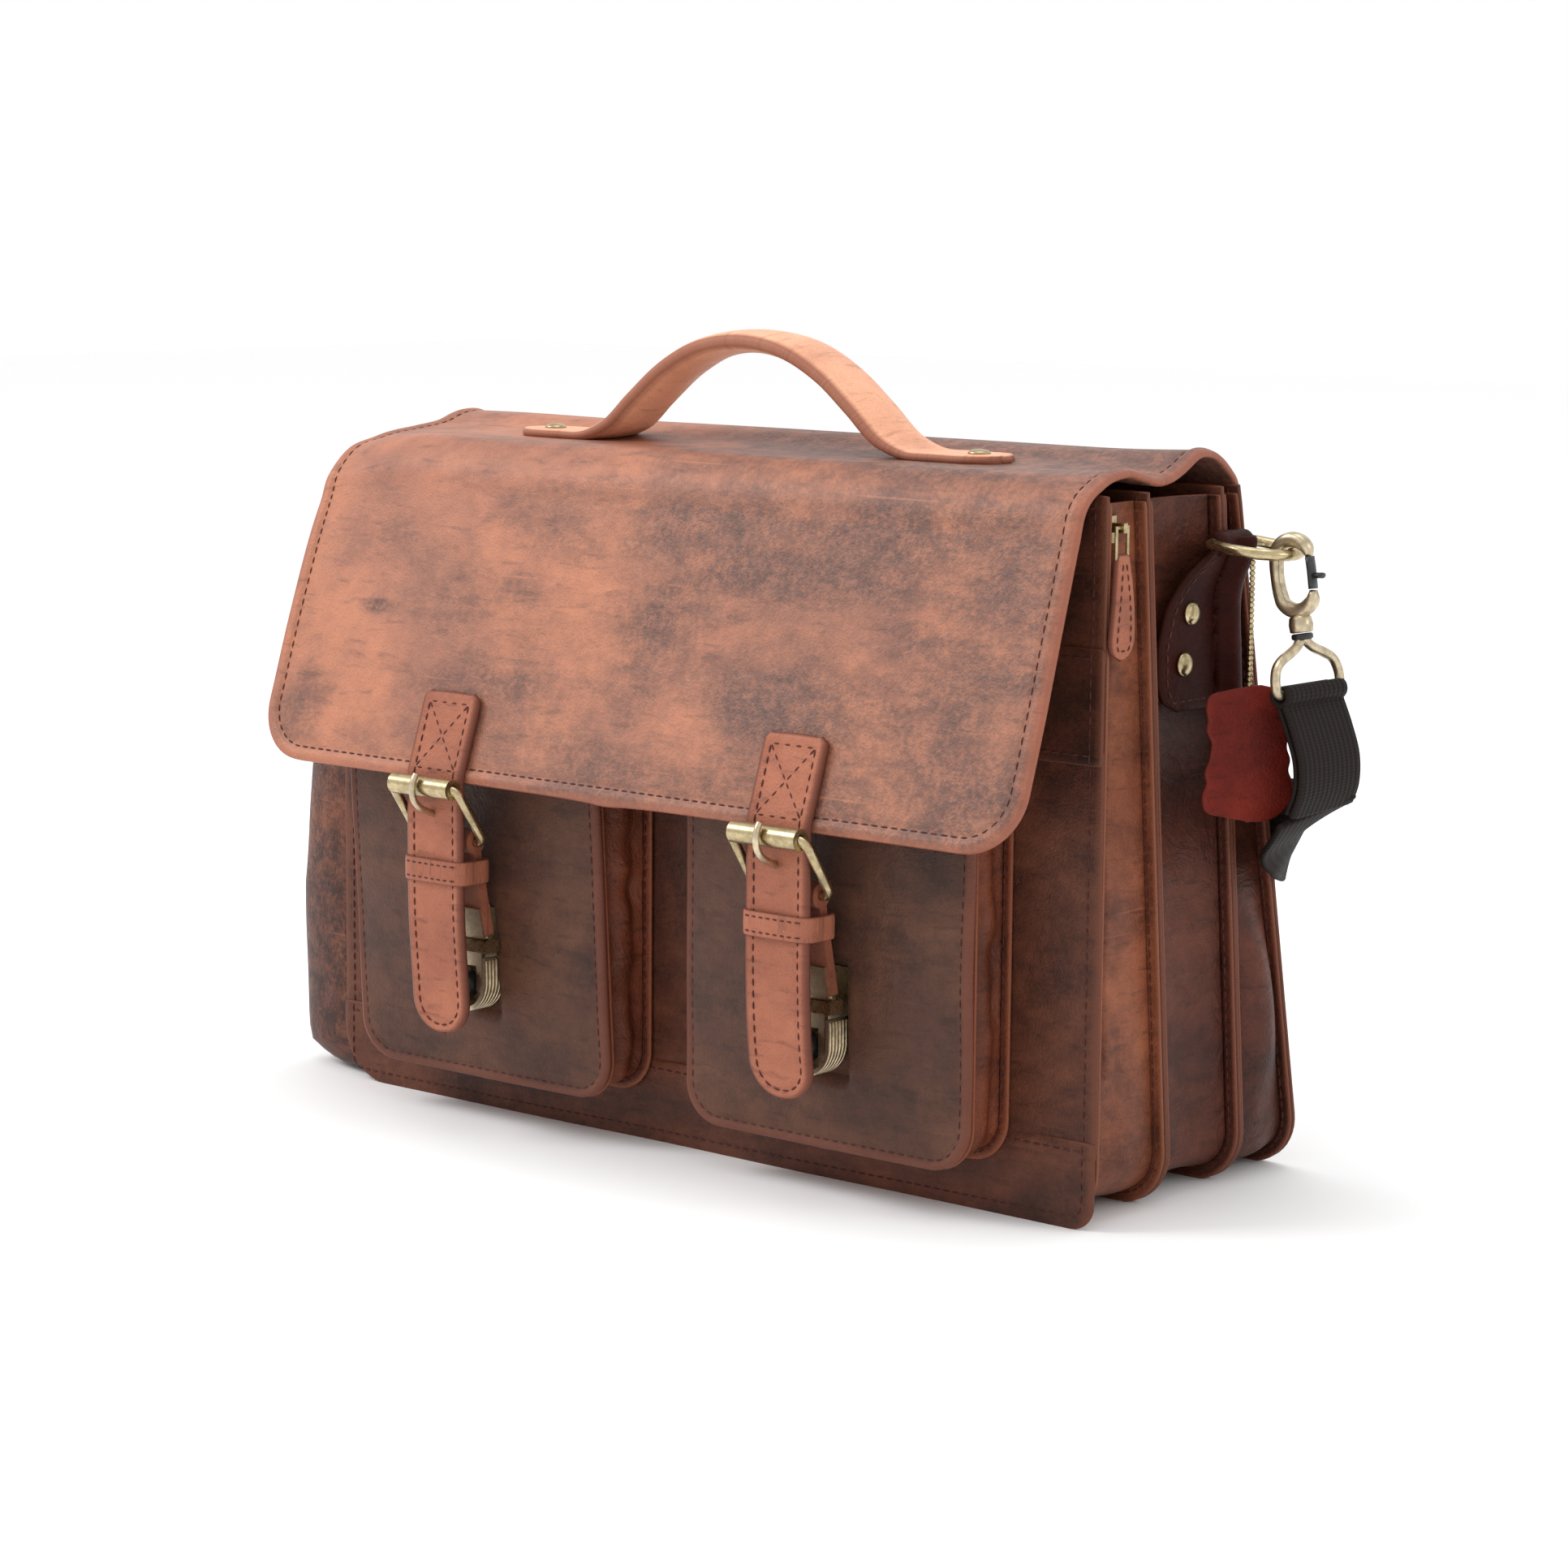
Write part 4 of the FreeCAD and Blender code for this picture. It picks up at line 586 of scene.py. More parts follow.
def band(name, node, low, high, proud, corner, rows, seed, lines):
    """A flat band standing at the front: across, and down from its top edge, a little uneven inside. The top
    left corner droops with the flap."""
    tall, droop_wide = high - low, sag_wide + 0.003

    def spread(s, t):
        fade = np.clip((half_wide - np.abs(s)) / 0.03, 0, 1)
        y = front_face + panel_thick / 2 - proud - ripple(s, t - low, seed, 0.16, 0.0007) * fade
        near_top = np.clip(1 - (front_top - high + t) / 0.03, 0, 1)
        droop = sag_deep * np.clip((-s - half_wide + droop_wide) / droop_wide, 0, 1) ** 1.6 * near_top
        return np.stack([s + 0.3 * droop, y, high - t - droop], -1)

    if corner:
        down, right_wide = cut_rows(half_wide, tall, corner[1], rows, 12)
        left_wide = np.interp(down, *cut_rows(half_wide, tall, corner[0], rows, 12))
    else:
        down = np.linspace(0, tall, rows)
        left_wide = right_wide = np.full(rows, half_wide)
    share = np.linspace(0, 1, 150)[None]
    s = -left_wide[:, None] + share * (left_wide + right_wide)[:, None]
    t = np.repeat(down[:, None], 150, 1)
    inset = np.minimum(s + left_wide[:, None], right_wide[:, None] - s)
    lots = [leaf(spread, s, t, band_thick)]
    lots[0]["rim"][:s.size] = np.clip((0.0026 - inset.ravel()) / 0.0012, 0, 1) * 0.8
    lots += [thread(spread, line, band_thick / 2) for line in lines]
    item = build(name, lots, [dark_hide, red_thread], "case", (seed * 0.7, seed * 0.37))
    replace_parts(item, node)


levels = [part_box(n)[0].z for n in ("front_base_band", "front_panel", "front_middle_band", "front_top_band")]
front_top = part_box("front_top_band")[1].z
edge_in = 0.0046
for name, node, k, proud, rows, seed in (("front_panel_leaf", "front_panel", 1, 0, 50, 31),
                                         ("front_top_leaf", "front_top_band", 3, 0, 24, 33),
                                         ("front_middle_leaf", "front_middle_band", 2, band_over, 20, 32)):
    low, high = levels[k] - band_lap * (k != 2), (levels + [front_top])[k + 1] + band_lap * (k == 1)
    tall = high - low
    sides = [[(side * (half_wide - edge_in), 0), (side * (half_wide - edge_in), tall)] for side in (1, -1)]
    hem_depths = {2: (0.003, tall - 0.003), 3: (0.004,)}.get(k, ())
    hems = [[(edge_in - half_wide, depth), (half_wide - edge_in, depth)] for depth in hem_depths]
    band(name, node, low, high, proud, None, rows, seed, sides + hems)
foot_high = levels[1] + 0.001
foot_line = edge_line(half_wide, foot_high, corner_right, edge_in)
band("front_foot_leaf", "front_base_band", 0, foot_high, band_over, (corner_left, corner_right), 10, 34,
     [foot_line, [(edge_in - half_wide, 0.003), (half_wide - edge_in, 0.003)]])


# --- seams along the ridges -----------------------------------------------------------------
# Each ridge is two leaves of hide sewn edge to edge. A row of stitches runs along both of its faces.
ridge_face = gusset_thick + 0.0004
for name, (floor_y, slope), rear in (
        ("ridge_front_seam", front_rear, True), ("ridge_first_seam_a", first, False),
        ("ridge_first_seam_b", first_rear, True), ("ridge_second_seam_a", second, False),
        ("ridge_second_seam_b", second_rear, True), ("ridge_last_seam", last, False)):
    side = ridge_face if rear else -ridge_face

    def ridge_spread(s, t, floor_y=floor_y, slope=slope, side=side, turn=-1 if rear else 1):
        """The face of a ridge: s is the inset from its cut edge, t the place along the U."""
        x, z, _ = u_path(t, 0.0030 + s * turn, gusset_top)
        flat_z = u_path(t, 0, gusset_top)[1]
        return np.stack([x, floor_y + slope * flat_z + side, z], -1)

    run = np.linspace(0.003, u_path(np.zeros(1), 0, gusset_top)[2] - 0.003, 300)
    seam = thread(ridge_spread, np.stack([np.zeros(300), run], -1), 0.0, finish=0)
    build(name, [seam], [red_thread], "case")


# --- front pockets --------------------------------------------------------------------------
# Two box pockets: a dark front leaf with a rolled, stitched edge on a U of paler, creased hide.
# The left one has been pulled a little to the left at its top.
pocket_thick = 0.0024
pocket_corner = 0.017
pocket_edge = 0.0034
pocket_hide = hide("pocket_hide", (0.135, 0.054, 0.030), (0.072, 0.0300, 0.0195), (0.0190, 0.0100, 0.0080),
                   (0.16, 0.046, 0.026), oil=0.58, crease=0.45)
side_hide = hide("side_hide", (0.235, 0.062, 0.026), (0.125, 0.034, 0.017), (0.030, 0.011, 0.008),
                 (0.24, 0.072, 0.034), oil=0.44, crease=1.9)
bow_high = 0.0058
rear_gap = 0.0002
side_wide = 0.032
# flat seat for the lock's tray: half width, half height, height of its middle and width of its slope
seat_half, seat_tall, seat_mid, seat_slope = 0.0165, 0.0245, 0.0505, 0.003


def pocket(side, tug, seed):
    """One pocket: its front leaf and, behind it, the U of its side."""
    low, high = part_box("pocket_front_" + side)
    half, tall, centre = (high.x - low.x) / 2, high.z - low.z, (high.x + low.x) / 2

    def front_spread(s, t):
        """The front: bowed as powers of half waves both ways but for the seat, sheared by the tug."""
        across = np.clip(np.cos(np.pi * s / (2 * half)), 0, 1) ** 0.6
        bow = bow_high * across * np.sin(np.pi * np.clip(t / tall, 0, 1)) ** 0.6
        seat = np.clip((seat_half - np.abs(s)) / seat_slope, 0, 1)
        seat = seat * np.clip((seat_tall - np.abs(t - tall + seat_mid)) / seat_slope, 0, 1)
        bow = np.where(bow > 0, bow * (1 - seat), 0)
        y = low.y + pocket_thick / 2 - bow - ripple(s, t, seed, 0.11, 0.0005)
        return np.stack([centre + s + tug * (1 - t / tall), y, high.z - t], -1)

    down, wide = cut_rows(half, tall, pocket_corner, 60, 14)
    s, t = np.linspace(-1, 1, 90)[None] * wide[:, None], np.repeat(down[:, None], 90, 1)
    inset = inset_of(s, t, half, tall, pocket_corner)
    roll = 0.0007 * np.exp(-((inset - 0.0016) / 0.0013) ** 2)
    roll = roll - 0.0005 * np.exp(-((inset - pocket_edge) / 0.0008) ** 2)
    front = leaf(front_spread, s, t, pocket_thick, roll)
    front["rim"][:s.size] = np.clip((pocket_edge - inset.ravel()) / 0.0015, 0, 1) * 0.75
    edge_seam = edge_line(half, tall, pocket_corner, pocket_edge)
    seams = [thread(front_spread, edge_seam, pocket_thick / 2 - 0.0004),
             thread(front_spread, [(-half + 0.006, 0.005), (half - 0.006, 0.005)], pocket_thick / 2)]
    item = build("pocket_leaf_" + side, [front, *seams], [pocket_hide, red_thread], "case", (seed * 0.9, 0.2))
    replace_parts(item, "pocket_front_" + side)

    box_low, box_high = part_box("pocket_gusset_" + side)
    box_top = box_high.z - box_low.z
    fold = 0.11

    def box_side(s, t):
        """The pocket's U: a flange on the front leaf, the wall back to the case with two long creases,
        and a flange on the case."""
        share = s + 0.5
        edge = np.minimum(share, 1 - share)
        inner = np.clip((share - fold) / (1 - 2 * fold), 0, 1)
        crease = ripple(inner * 0.03, t, seed + 1, 0.028, 0.0009) + 0.0015 * np.sin(3 * np.pi * inner)
        inset = np.minimum(edge / fold, 1) * 0.0042 + np.where(edge > fold, crease * np.sin(np.pi * inner), 0)
        x, z, _ = u_path(t, inset, box_top, half, pocket_corner)
        y = box_low.y + gusset_thick + (box_high.y - box_low.y - 2 * gusset_thick) * inner
        return np.stack([centre + x + tug * z / box_top * (1 - inner), y, box_low.z + z], -1)

    total = u_path(np.zeros(1), 0, box_top, half, pocket_corner)[2]
    across = np.concatenate([np.linspace(0, fold * 0.96, 4), np.linspace(fold * 1.04, 1 - fold * 1.04, 26),
                             np.linspace(1 - fold * 0.96, 1, 4)]) - 0.5
    s, t = np.meshgrid(across[::-1], np.linspace(0, total, 260))
    wall = leaf(box_side, s, t, gusset_thick)
    wall["flat"] = wall["flat"] * (side_wide, 1)
    edge = np.abs(wall["flat"][:, 0]) / side_wide
    wall["rim"] = np.maximum(wall["rim"], np.clip((edge - 0.475) / 0.02, 0, 1))

    def flange(s, t):
        """The rear flange's front face: s is the inset from its cut edge, t the place along the U."""
        x, z, _ = u_path(t, 0.0022 + s, box_top, half, pocket_corner)
        y = np.full(np.shape(x), front_face - 2 * gusset_thick - rear_gap)
        return np.stack([centre + x, y, box_low.z + z], -1)

    run = np.linspace(0.003, total - 0.003, 200)
    rear_seam = thread(flange, np.stack([np.zeros(200), run], -1), 0.0)
    item = build("pocket_side_" + side, [wall, rear_seam], [side_hide, red_thread], "case", (seed * 0.5, 0.4))
    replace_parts(item, "pocket_gusset_" + side)


pocket("l", -0.009, 41)
pocket("r", 0.0, 45)


# --- zip ------------------------------------------------------------------------------------
# A zip let into the right end of the front gusset: two woven tapes, two rows of nylon coil, a brass
# slider with a wire link and a teardrop pull of stitched leather.
zip_red = plain("zip_coil_red", (0.105, 0.020, 0.018), 0.42)
tape_red = plain("zip_tape_red", (0.050, 0.012, 0.012), 0.85)
coil_pitch, coil_wire = 0.0017, 0.00042


def tube(path, normal, a, b=None, closed=False, sides=12, power=1.0, scale=None):
    """A rounded section carried along a path: half width a across the path within its plane and b along
    the plane's normal, each times sign(c)|c| to a power, squarer below one. Ends are closed flat."""
    path, normal = np.asarray(path, float), np.asarray(normal, float)
    ahead = (np.roll(path, -1, 0) - np.roll(path, 1, 0)) if closed else np.gradient(path, axis=0)
    ahead = unit(ahead)
    out = unit(np.cross(ahead, np.broadcast_to(normal, path.shape)))
    up = np.cross(out, ahead)
    b = a if b is None else b
    turn = 2 * np.pi * np.arange(sides) / sides
    c, d = (np.sign(v) * np.abs(v) ** power for v in (np.cos(turn), np.sin(turn)))
    scale = np.ones(len(path)) if scale is None else scale
    a = np.broadcast_to(a, len(path)) * scale
    b = np.broadcast_to(b, len(path)) * scale
    points = path[:, None] + out[:, None] * c[None, :, None] * a[:, None, None]
    points = points + up[:, None] * d[None, :, None] * b[:, None, None]
    count, k = len(path), np.arange(sides)
    j = np.arange(count if closed else count - 1)[:, None]
    nxt = (j + 1) % count
    one, other = j * sides, nxt * sides
    faces = np.stack([one + k, one + (k + 1) % sides, other + (k + 1) % sides, other + k], -1).reshape(-1, 4)
    if not closed:
        fan = np.array([(0, m, m + 1, m + 2) for m in range(1, sides - 2, 2)])
        faces = np.concatenate([faces, fan[:, ::-1], fan + (count - 1) * sides])
    run = np.concatenate([[0], np.cumsum(np.linalg.norm(np.diff(path, axis=0), axis=1))])
    size = float(np.max(a))
    flat = np.stack(np.broadcast_arrays(turn[None] * size, run[:, None]), -1).reshape(-1, 2)
    return {"points": points.reshape(-1, 3), "faces": faces, "flat": flat, "rim": np.zeros(count * sides)}


def through(points, count):
    """A smooth line through points: cubic pieces whose slopes are the mean of the two beside each point."""
    points = np.asarray(points, float)
    run = np.concatenate([[0], np.cumsum(np.linalg.norm(np.diff(points, axis=0), axis=1))])
    slope = np.gradient(points, run, axis=0)
    at = np.linspace(0, run[-1], count)
    k = np.clip(np.searchsorted(run, at, "right") - 1, 0, len(run) - 2)
    wide = (run[k + 1] - run[k])[:, None]
    u = ((at - run[k]) / wide[:, 0])[:, None]
    return ((2 * u ** 3 - 3 * u ** 2 + 1) * points[k] + (u ** 3 - 2 * u ** 2 + u) * wide * slope[k]
            + (3 * u ** 2 - 2 * u ** 3) * points[k + 1] + (u ** 3 - u ** 2) * wide * slope[k + 1])


coil_lots = []
coil_x = (coil_low.x + coil_high.x) / 2
turns = int((zip_high - zip_low) / coil_pitch)
for way in (-1, 1):
    angle = np.linspace(0, 2 * np.pi * turns, turns * 7)
    path = np.stack([coil_x + 0.0008 * np.cos(angle), zip_y + way * (0.0013 + 0.0010 * np.sin(angle)),
                     zip_low + (zip_high - zip_low) * np.linspace(0, 1, len(angle))], -1)
    coil_lots.append(tube(path, (0, 0, 1), coil_wire, sides=6))
item = build("zip_coils", coil_lots, [zip_red], "case")
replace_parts(item, "zip_coil")
tape_low, tape_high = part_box("zip_tapes")


def tape_spread(s, t):
    """Both tapes: a flat upright strip, s its place back from the front, t down from the top."""
    return np.stack([np.full(np.shape(s), (tape_low.x + tape_high.x) / 2), s, tape_high.z - t], -1)


s, t = np.meshgrid(np.linspace(tape_low.y, tape_high.y, 6), np.linspace(0, tape_high.z - tape_low.z, 40))
item = build("zip_tape_pair", [leaf(tape_spread, s, t, 0.0008)], [tape_red], "case")
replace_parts(item, "zip_tapes")

brass = plain("antique_brass", (0.56, 0.45, 0.26), 0.20, 1.0)
satin = plain("satin_brass", (0.66, 0.55, 0.38), 0.27, 1.0)
strap_hide = hide("strap_hide", (0.42, 0.148, 0.082), (0.285, 0.092, 0.052), (0.085, 0.030, 0.021),
                  (0.11, 0.030, 0.018), oil=0.30, crease=0.5)
pull_low, pull_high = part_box("zip_pull")
pull_mid, pull_half = (pull_low.y + pull_high.y) / 2, (pull_high.y - pull_low.y) / 2
pull_tall, pull_x = pull_high.z - pull_low.z, (pull_low.x + pull_high.x) / 2
pull_thick, pull_edge = 0.0026, 0.0022
share = np.linspace(0.02, 0.995, 40)
foot_round = np.sqrt(1 - np.clip((share - 0.8) / 0.2, 0, 1) ** 2 * 0.97)
outline = pull_half * (0.42 + 0.58 * np.sin(np.pi * share / 2)) * foot_round
s, t = np.linspace(1, -1, 20)[None] * outline[:, None], np.repeat(share[:, None] * pull_tall, 20, 1)


def pull_spread(s, t):
    """The pull hangs flat against the gusset, bowed a little lengthways."""
    return np.stack([pull_x + 0.0008 * np.sin(np.pi * t / pull_tall), pull_mid + s, pull_high.z - t], -1)


pull = leaf(pull_spread, -s, t, pull_thick)
path = np.stack([outline[2:] - pull_edge, share[2:] * pull_tall], -1)
path = np.concatenate([path[:-3], (path[:-3] * (-1, 1))[::-1]])
pull_seam = thread(pull_spread, path, pull_thick / 2, 0.0036, 0.0027, 0.0007)
behind = len(pull["points"]) // 2
pull["rim"][behind:] = np.maximum(pull["rim"][behind:], 0.2)
item = build("zip_pull_leaf", [pull, pull_seam], [strap_hide, red_thread], "zip_pull", (3.1, 1.2))
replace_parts(item, "zip_pull")


# --- flap -----------------------------------------------------------------------------------
# One big leaf of tan waxed hide is sewn to the back panel, runs over the top and folds down over
# the pockets. Its edge is rolled and stitched. It is meshed in two lengths that meet on the top.
flap_hide = hide("flap_hide", (0.50, 0.190, 0.100), (0.315, 0.128, 0.082), (0.088, 0.045, 0.037),
                 (0.30, 0.092, 0.050), oil=0.44, crease=0.6, gloss=0.36)
flap_thick = 0.0030
flap_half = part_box("flap_front")[1].x
flap_corner = 0.024
flap_stitch = 0.0056


def joint_at(name):
    """Where a joint of the frame is."""
    return next(joint for joint in frame["joints"] if joint["name"] == name)["pos_m"]


crease_y, crease_z = joint_at("flap_fold")[1:]
slope_angle = np.radians(18.3)
fall = np.array([-np.sin(slope_angle), -np.cos(slope_angle)])
hang_long = 0.1395
back_y = last[0] + panel_thick + flap_thick / 2 + 0.0004
behind_case = [(back_y + last[1] * z, z) for z in (0.252, 0.268)]
over_top = [(0.0505, 0.2795), (0.0430, 0.2845), (0.0310, 0.2850), (0.0190, 0.2815), (0.0040, 0.2798),
            (-0.0200, 0.2795), (-0.0350, 0.2785)]
down_front = [(crease_y + fall[0] * d, crease_z + fall[1] * d)
              for d in (0.010, 0.022, 0.045, 0.085, 0.115, hang_long)]
flap_line = through(behind_case + over_top + down_front, 600)
flap_run = np.concatenate([[0], np.cumsum(np.linalg.norm(np.diff(flap_line, axis=0), axis=1))])
flap_long = flap_run[-1]
fold_at = flap_run[np.argmin(np.abs(flap_line[:, 1] - (crease_z - 0.006)) + 9 * (flap_line[:, 0] > 0))]


def flap_spread(s, t):
    """Across and along the flap: its side line, lowered at the front left corner where it has sagged, wavy
    along the right edge of the top, and slowly uneven all over."""
    beyond = t - np.clip(t, 0, flap_long)
    y = np.interp(t, flap_run, flap_line[:, 0]) + np.maximum(beyond, 0) * fall[0]
    z = np.interp(t, flap_run, flap_line[:, 1]) + np.maximum(beyond, 0) * fall[1] + np.minimum(beyond, 0)
    near_fold = np.exp(-((t - fold_at) / 0.028) ** 2)
    sag = sag_deep * np.clip((-s - flap_half + sag_wide) / sag_wide, 0, 1) ** 1.6 * near_fold
    top = np.clip((fold_at + 0.005 - t) / 0.015, 0, 1) * np.clip(t / 0.03, 0, 1)
    wavy = 0.0022 * np.sin(2 * np.pi * t / 0.047 + 0.8) * np.clip((s - flap_half + 0.05) / 0.05, 0, 1) * top
    lift = np.clip((t - fold_at - 0.02) / 0.06, 0, 1)
    uneven = ripple(s, t, 51, 0.17, 0.0016) * (0.35 + 0.65 * lift) * np.clip(t / 0.03, 0, 1)
    under_grip = np.exp(-((s / 0.14) ** 4)) * top
    z = z - sag + (wavy + uneven * 0.5) * top * (1 - 0.8 * under_grip)
    y = y - uneven * lift * 0.55 * np.clip((flap_long + 0.02 - t) / 0.05, 0, 1)
    return np.stack([s + 0.0015 * lift * np.sign(s) * (np.abs(s) / flap_half) ** 4, y, z], -1)


def flap_stain_and_shade(flat):
    """Darkening of the flap: a dark right half of the top, painted shade as a slow darkening to the right and
    to the lower right corner, and stains as bells of darkness at listed places."""
    s, t = flat[:, 0], flat[:, 1] - fold_at
    dark = 0.55 * np.clip((s + 0.10) / 0.16, 0, 1) * np.clip(-t / 0.02, 0, 1)
    # painted shade: a slow darkening to the right and towards the lower right corner
    dark = dark + 0.26 * np.clip((s + 0.14) / 0.16, 0, 1)
    dark = dark + 0.38 * np.clip((s - 0.02) / 0.16, 0, 1) * np.clip((t - 0.05) / 0.07, 0, 1)
    # stains: bells of darkness at listed places
    for x, depth, wide, tall, share in (
            (-0.02, 0.085, 0.09, 0.018, 0.22), (0.02, 0.022, 0.08, 0.022, 0.34),
            (-0.148, 0.066, 0.009, 0.0035, 1.0), (-0.08, 0.118, 0.07, 0.016, 0.26),
            (0.07, 0.10, 0.03, 0.03, 0.22), (-0.175, 0.11, 0.012, 0.02, 0.45),
            (0.17, 0.05, 0.03, 0.05, 0.20), (0.12, 0.015, 0.06, 0.016, 0.35),
            (-0.09, 0.060, 0.05, 0.010, 0.30), (0.0, 0.060, 0.02, 0.012, 0.30)):
        dark = dark + share * np.exp(-((s - x) / wide) ** 2 - ((t - depth) / tall) ** 2)
    return dark


def flap_length(name, begin, finish, node):
    """The flap between two places along it, with its rolled edge and stitches."""
    at_foot = finish == flap_long
    if at_foot:
        down, wide = cut_rows(flap_half, flap_long - begin, flap_corner, 120, 16)
        down = down + begin
        lines = [edge_line(flap_half, flap_long, flap_corner, flap_stitch, begin)]
    else:
        down, wide = np.linspace(begin, finish, 60), np.full(60, flap_half)
        seam_x, end_x = flap_half - flap_stitch, flap_half - 0.006
        lines = [[(side * seam_x, begin), (side * seam_x, finish)] for side in (1, -1)]
        lines += [[(-end_x, 0.006), (end_x, 0.006)]]
    share = np.sin(np.linspace(-1, 1, 170) * np.pi / 2 * 0.96) / np.sin(np.pi / 2 * 0.96)
    s, t = share[None] * wide[:, None], np.repeat(down[:, None], 170, 1)
    inset = inset_of(s, t, flap_half, flap_long, flap_corner)
    roll = 0.0009 * np.exp(-((inset - 0.0028) / 0.0022) ** 2)
    roll = roll - 0.0006 * np.exp(-((inset - flap_stitch) / 0.0009) ** 2)
    body = leaf(flap_spread, s, t, flap_thick, roll)
    body["rim"][:s.size] = np.clip((0.0028 - inset.ravel()) / 0.0022, 0, 1) * 0.6
    seams = [thread(flap_spread, line, flap_thick / 2 - 0.0004) for line in lines]
    item = build(name, [body, *seams], [flap_hide, red_thread], None, (0.13, 0.29), flap_stain_and_shade)
    # the edges where the two lengths meet are sharp, so that the rims don't shade into the skins there
    seam_row = (0 if at_foot else s.shape[0] - 1) * s.shape[1] + np.arange(s.shape[1])
    marked = np.zeros(len(item.data.vertices), bool)
    marked[np.concatenate([seam_row, seam_row + s.size])] = True
    pairs = np.zeros(len(item.data.edges) * 2, np.int32)
    item.data.edges.foreach_get("vertices", pairs)
    sharp = marked[pairs.reshape(-1, 2)].all(1)
    item.data.attributes.new("sharp_edge", "BOOLEAN", "EDGE").data.foreach_set("value", sharp)
    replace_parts(item, node)
    return item


hinge_y, hinge_z = joint_at("flap_lift")[1:]
split_at = float(flap_run[np.argmin(np.abs(flap_line[:, 0] - 0.006))])
flap_back = flap_length("flap_back_length", 0.0, split_at, "flap_top")
flap_fore = flap_length("flap_front_length", split_at, flap_long, "flap_front")
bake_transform(flap_back)
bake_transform(flap_fore)


# --- handle ---------------------------------------------------------------------------------
# A padded strap: tan hide folded over a core and stitched along both edges, arched between two flat
# tongues that are sewn and riveted to the top of the flap.
grip_low, grip_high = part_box("handle")
grip_y, grip_half = (grip_low.y + grip_high.y) / 2, (grip_high.y - grip_low.y) / 2
base = grip_low.z
end_x = grip_high.x
arch = [(end_x, 0.0020), (0.100, 0.0020), (0.084, 0.0026), (0.072, 0.0070), (0.058, 0.0185), (0.041, 0.0315),
        (0.022, 0.0405), (0, 0.0437)]
arch = through([(-x, z) for x, z in arch] + [(x, z) for x, z in arch[-2::-1]], 240)
arch_run = np.concatenate([[0], np.cumsum(np.linalg.norm(np.diff(arch, axis=0), axis=1))])
grip_long = arch_run[-1]


def grip_spread(s, t):
    """Across the strap and along it from the left tongue to the right one, following the arch."""
    x, rise = (np.interp(t, arch_run, arch[:, k]) for k in (0, 1))
    return np.stack([x, grip_y - s, base + rise], -1)


share = (1 - np.cos(np.linspace(0, np.pi, 150))) / 2
along = share * grip_long
from_end = np.minimum(along, grip_long - along)
tip = np.sqrt(np.clip(1 - (1 - np.clip(from_end / 0.014, 0, 1)) ** 2, 0.012, 1))
tongue = np.clip((from_end - 0.038) / 0.020, 0, 1)
wide = grip_half * tip * (1 - 0.06 * tongue)
s, t = np.linspace(-1, 1, 30)[None] * wide[:, None], np.repeat(along[:, None], 30, 1)
tongue_thick, core_thick, core_above, core_below = 0.0036, 0.0022, 0.0022, 0.0014
padding = tongue[:, None] * (1 - (s / grip_half) ** 2)
grip = leaf(grip_spread, s, t, tongue_thick + core_thick * tongue[:, None], core_above * padding,
            core_below * padding)
grip["rim"][:s.size] = np.clip((np.abs(s / wide[:, None]).ravel() - 0.9) / 0.08, 0, 1) * 0.4
grip_edge, grip_lift, cross_half = 0.0032, 0.0019, 0.0088
line = np.stack([np.maximum(wide - grip_edge, 0.0005), along], -1)[14:-14]
grip_seams = [thread(grip_spread, line * (way, 1), grip_lift) for way in (1, -1)]
for depth in (0.010, grip_long - 0.010, 0.034, grip_long - 0.034):
    grip_seams.append(thread(grip_spread, [(cross_half, depth), (-cross_half, depth)], grip_lift))
# a lighter tan than the straps, lifted further as painted light for the bright upturned top of the handle
grip_hide = hide("grip_hide", (0.92, 0.500, 0.320), (0.74, 0.350, 0.210), (0.30, 0.120, 0.070),
                 (0.24, 0.075, 0.042), oil=0.26, crease=0.6)
item = build("handle_strap", [grip, *grip_seams], [grip_hide, red_thread], "flap_top", (5.2, 0.9))
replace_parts(item, "handle")


def dome(centre, axis, radius, high, sides=28, rings=8):
    """A domed rivet head: circles of radius r sin(a) at height h cos(a), flat underneath."""
    axis = unit(np.asarray(axis, float))
    aside = unit(np.cross(axis, (0.31, 0.53, 0.79)))
    other = np.cross(axis, aside)
    angle = np.linspace(0.04, np.pi / 2, rings)
    reach = np.concatenate([radius * np.sin(angle), [radius * 0.98, radius * 0.5, 0.0001]])
    rise = np.concatenate([high * np.cos(angle), [-0.0002] * 3])
    turn = 2 * np.pi * np.arange(sides) / sides
    ring = aside * np.cos(turn)[:, None] + other * np.sin(turn)[:, None]
    points = np.asarray(centre) + ring[None] * reach[:, None, None] + axis * rise[:, None, None]
    count, k = len(reach), np.arange(sides)
    j = np.arange(count - 1)[:, None]
    faces = np.stack([j * sides + k, (j + 1) * sides + k, (j + 1) * sides + (k + 1) % sides,
                      j * sides + (k + 1) % sides], -1).reshape(-1, 4)
    fan = np.array([(0, m, m + 1, m + 2) for m in range(1, sides - 2, 2)])
    faces = np.concatenate([faces, fan, fan[:, ::-1] + (count - 1) * sides])
    return {"points": points.reshape(-1, 3), "faces": faces}


rivet_low, rivet_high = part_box("handle_rivets")
head_round, head_high = 0.0045, 0.0016
heads = [dome((side * (rivet_high.x - head_round), grip_y, rivet_low.z), (0, 0, 1), head_round, head_high)
         for side in (-1, 1)]
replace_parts(build("handle_rivet_heads", heads, [brass], "flap_top"), "handle_rivets")


# --- closures -------------------------------------------------------------------------------
# On each pocket: a tan strap sewn to the flap with a crossed box of stitches hangs through a roller
# buckle and a keeper. Behind it a short folded strap carries the brass fork of a push lock.
strap_thick, strap_edge = 0.0032, 0.0030
strap_stitch = (0.0044, 0.0033, 0.0008)
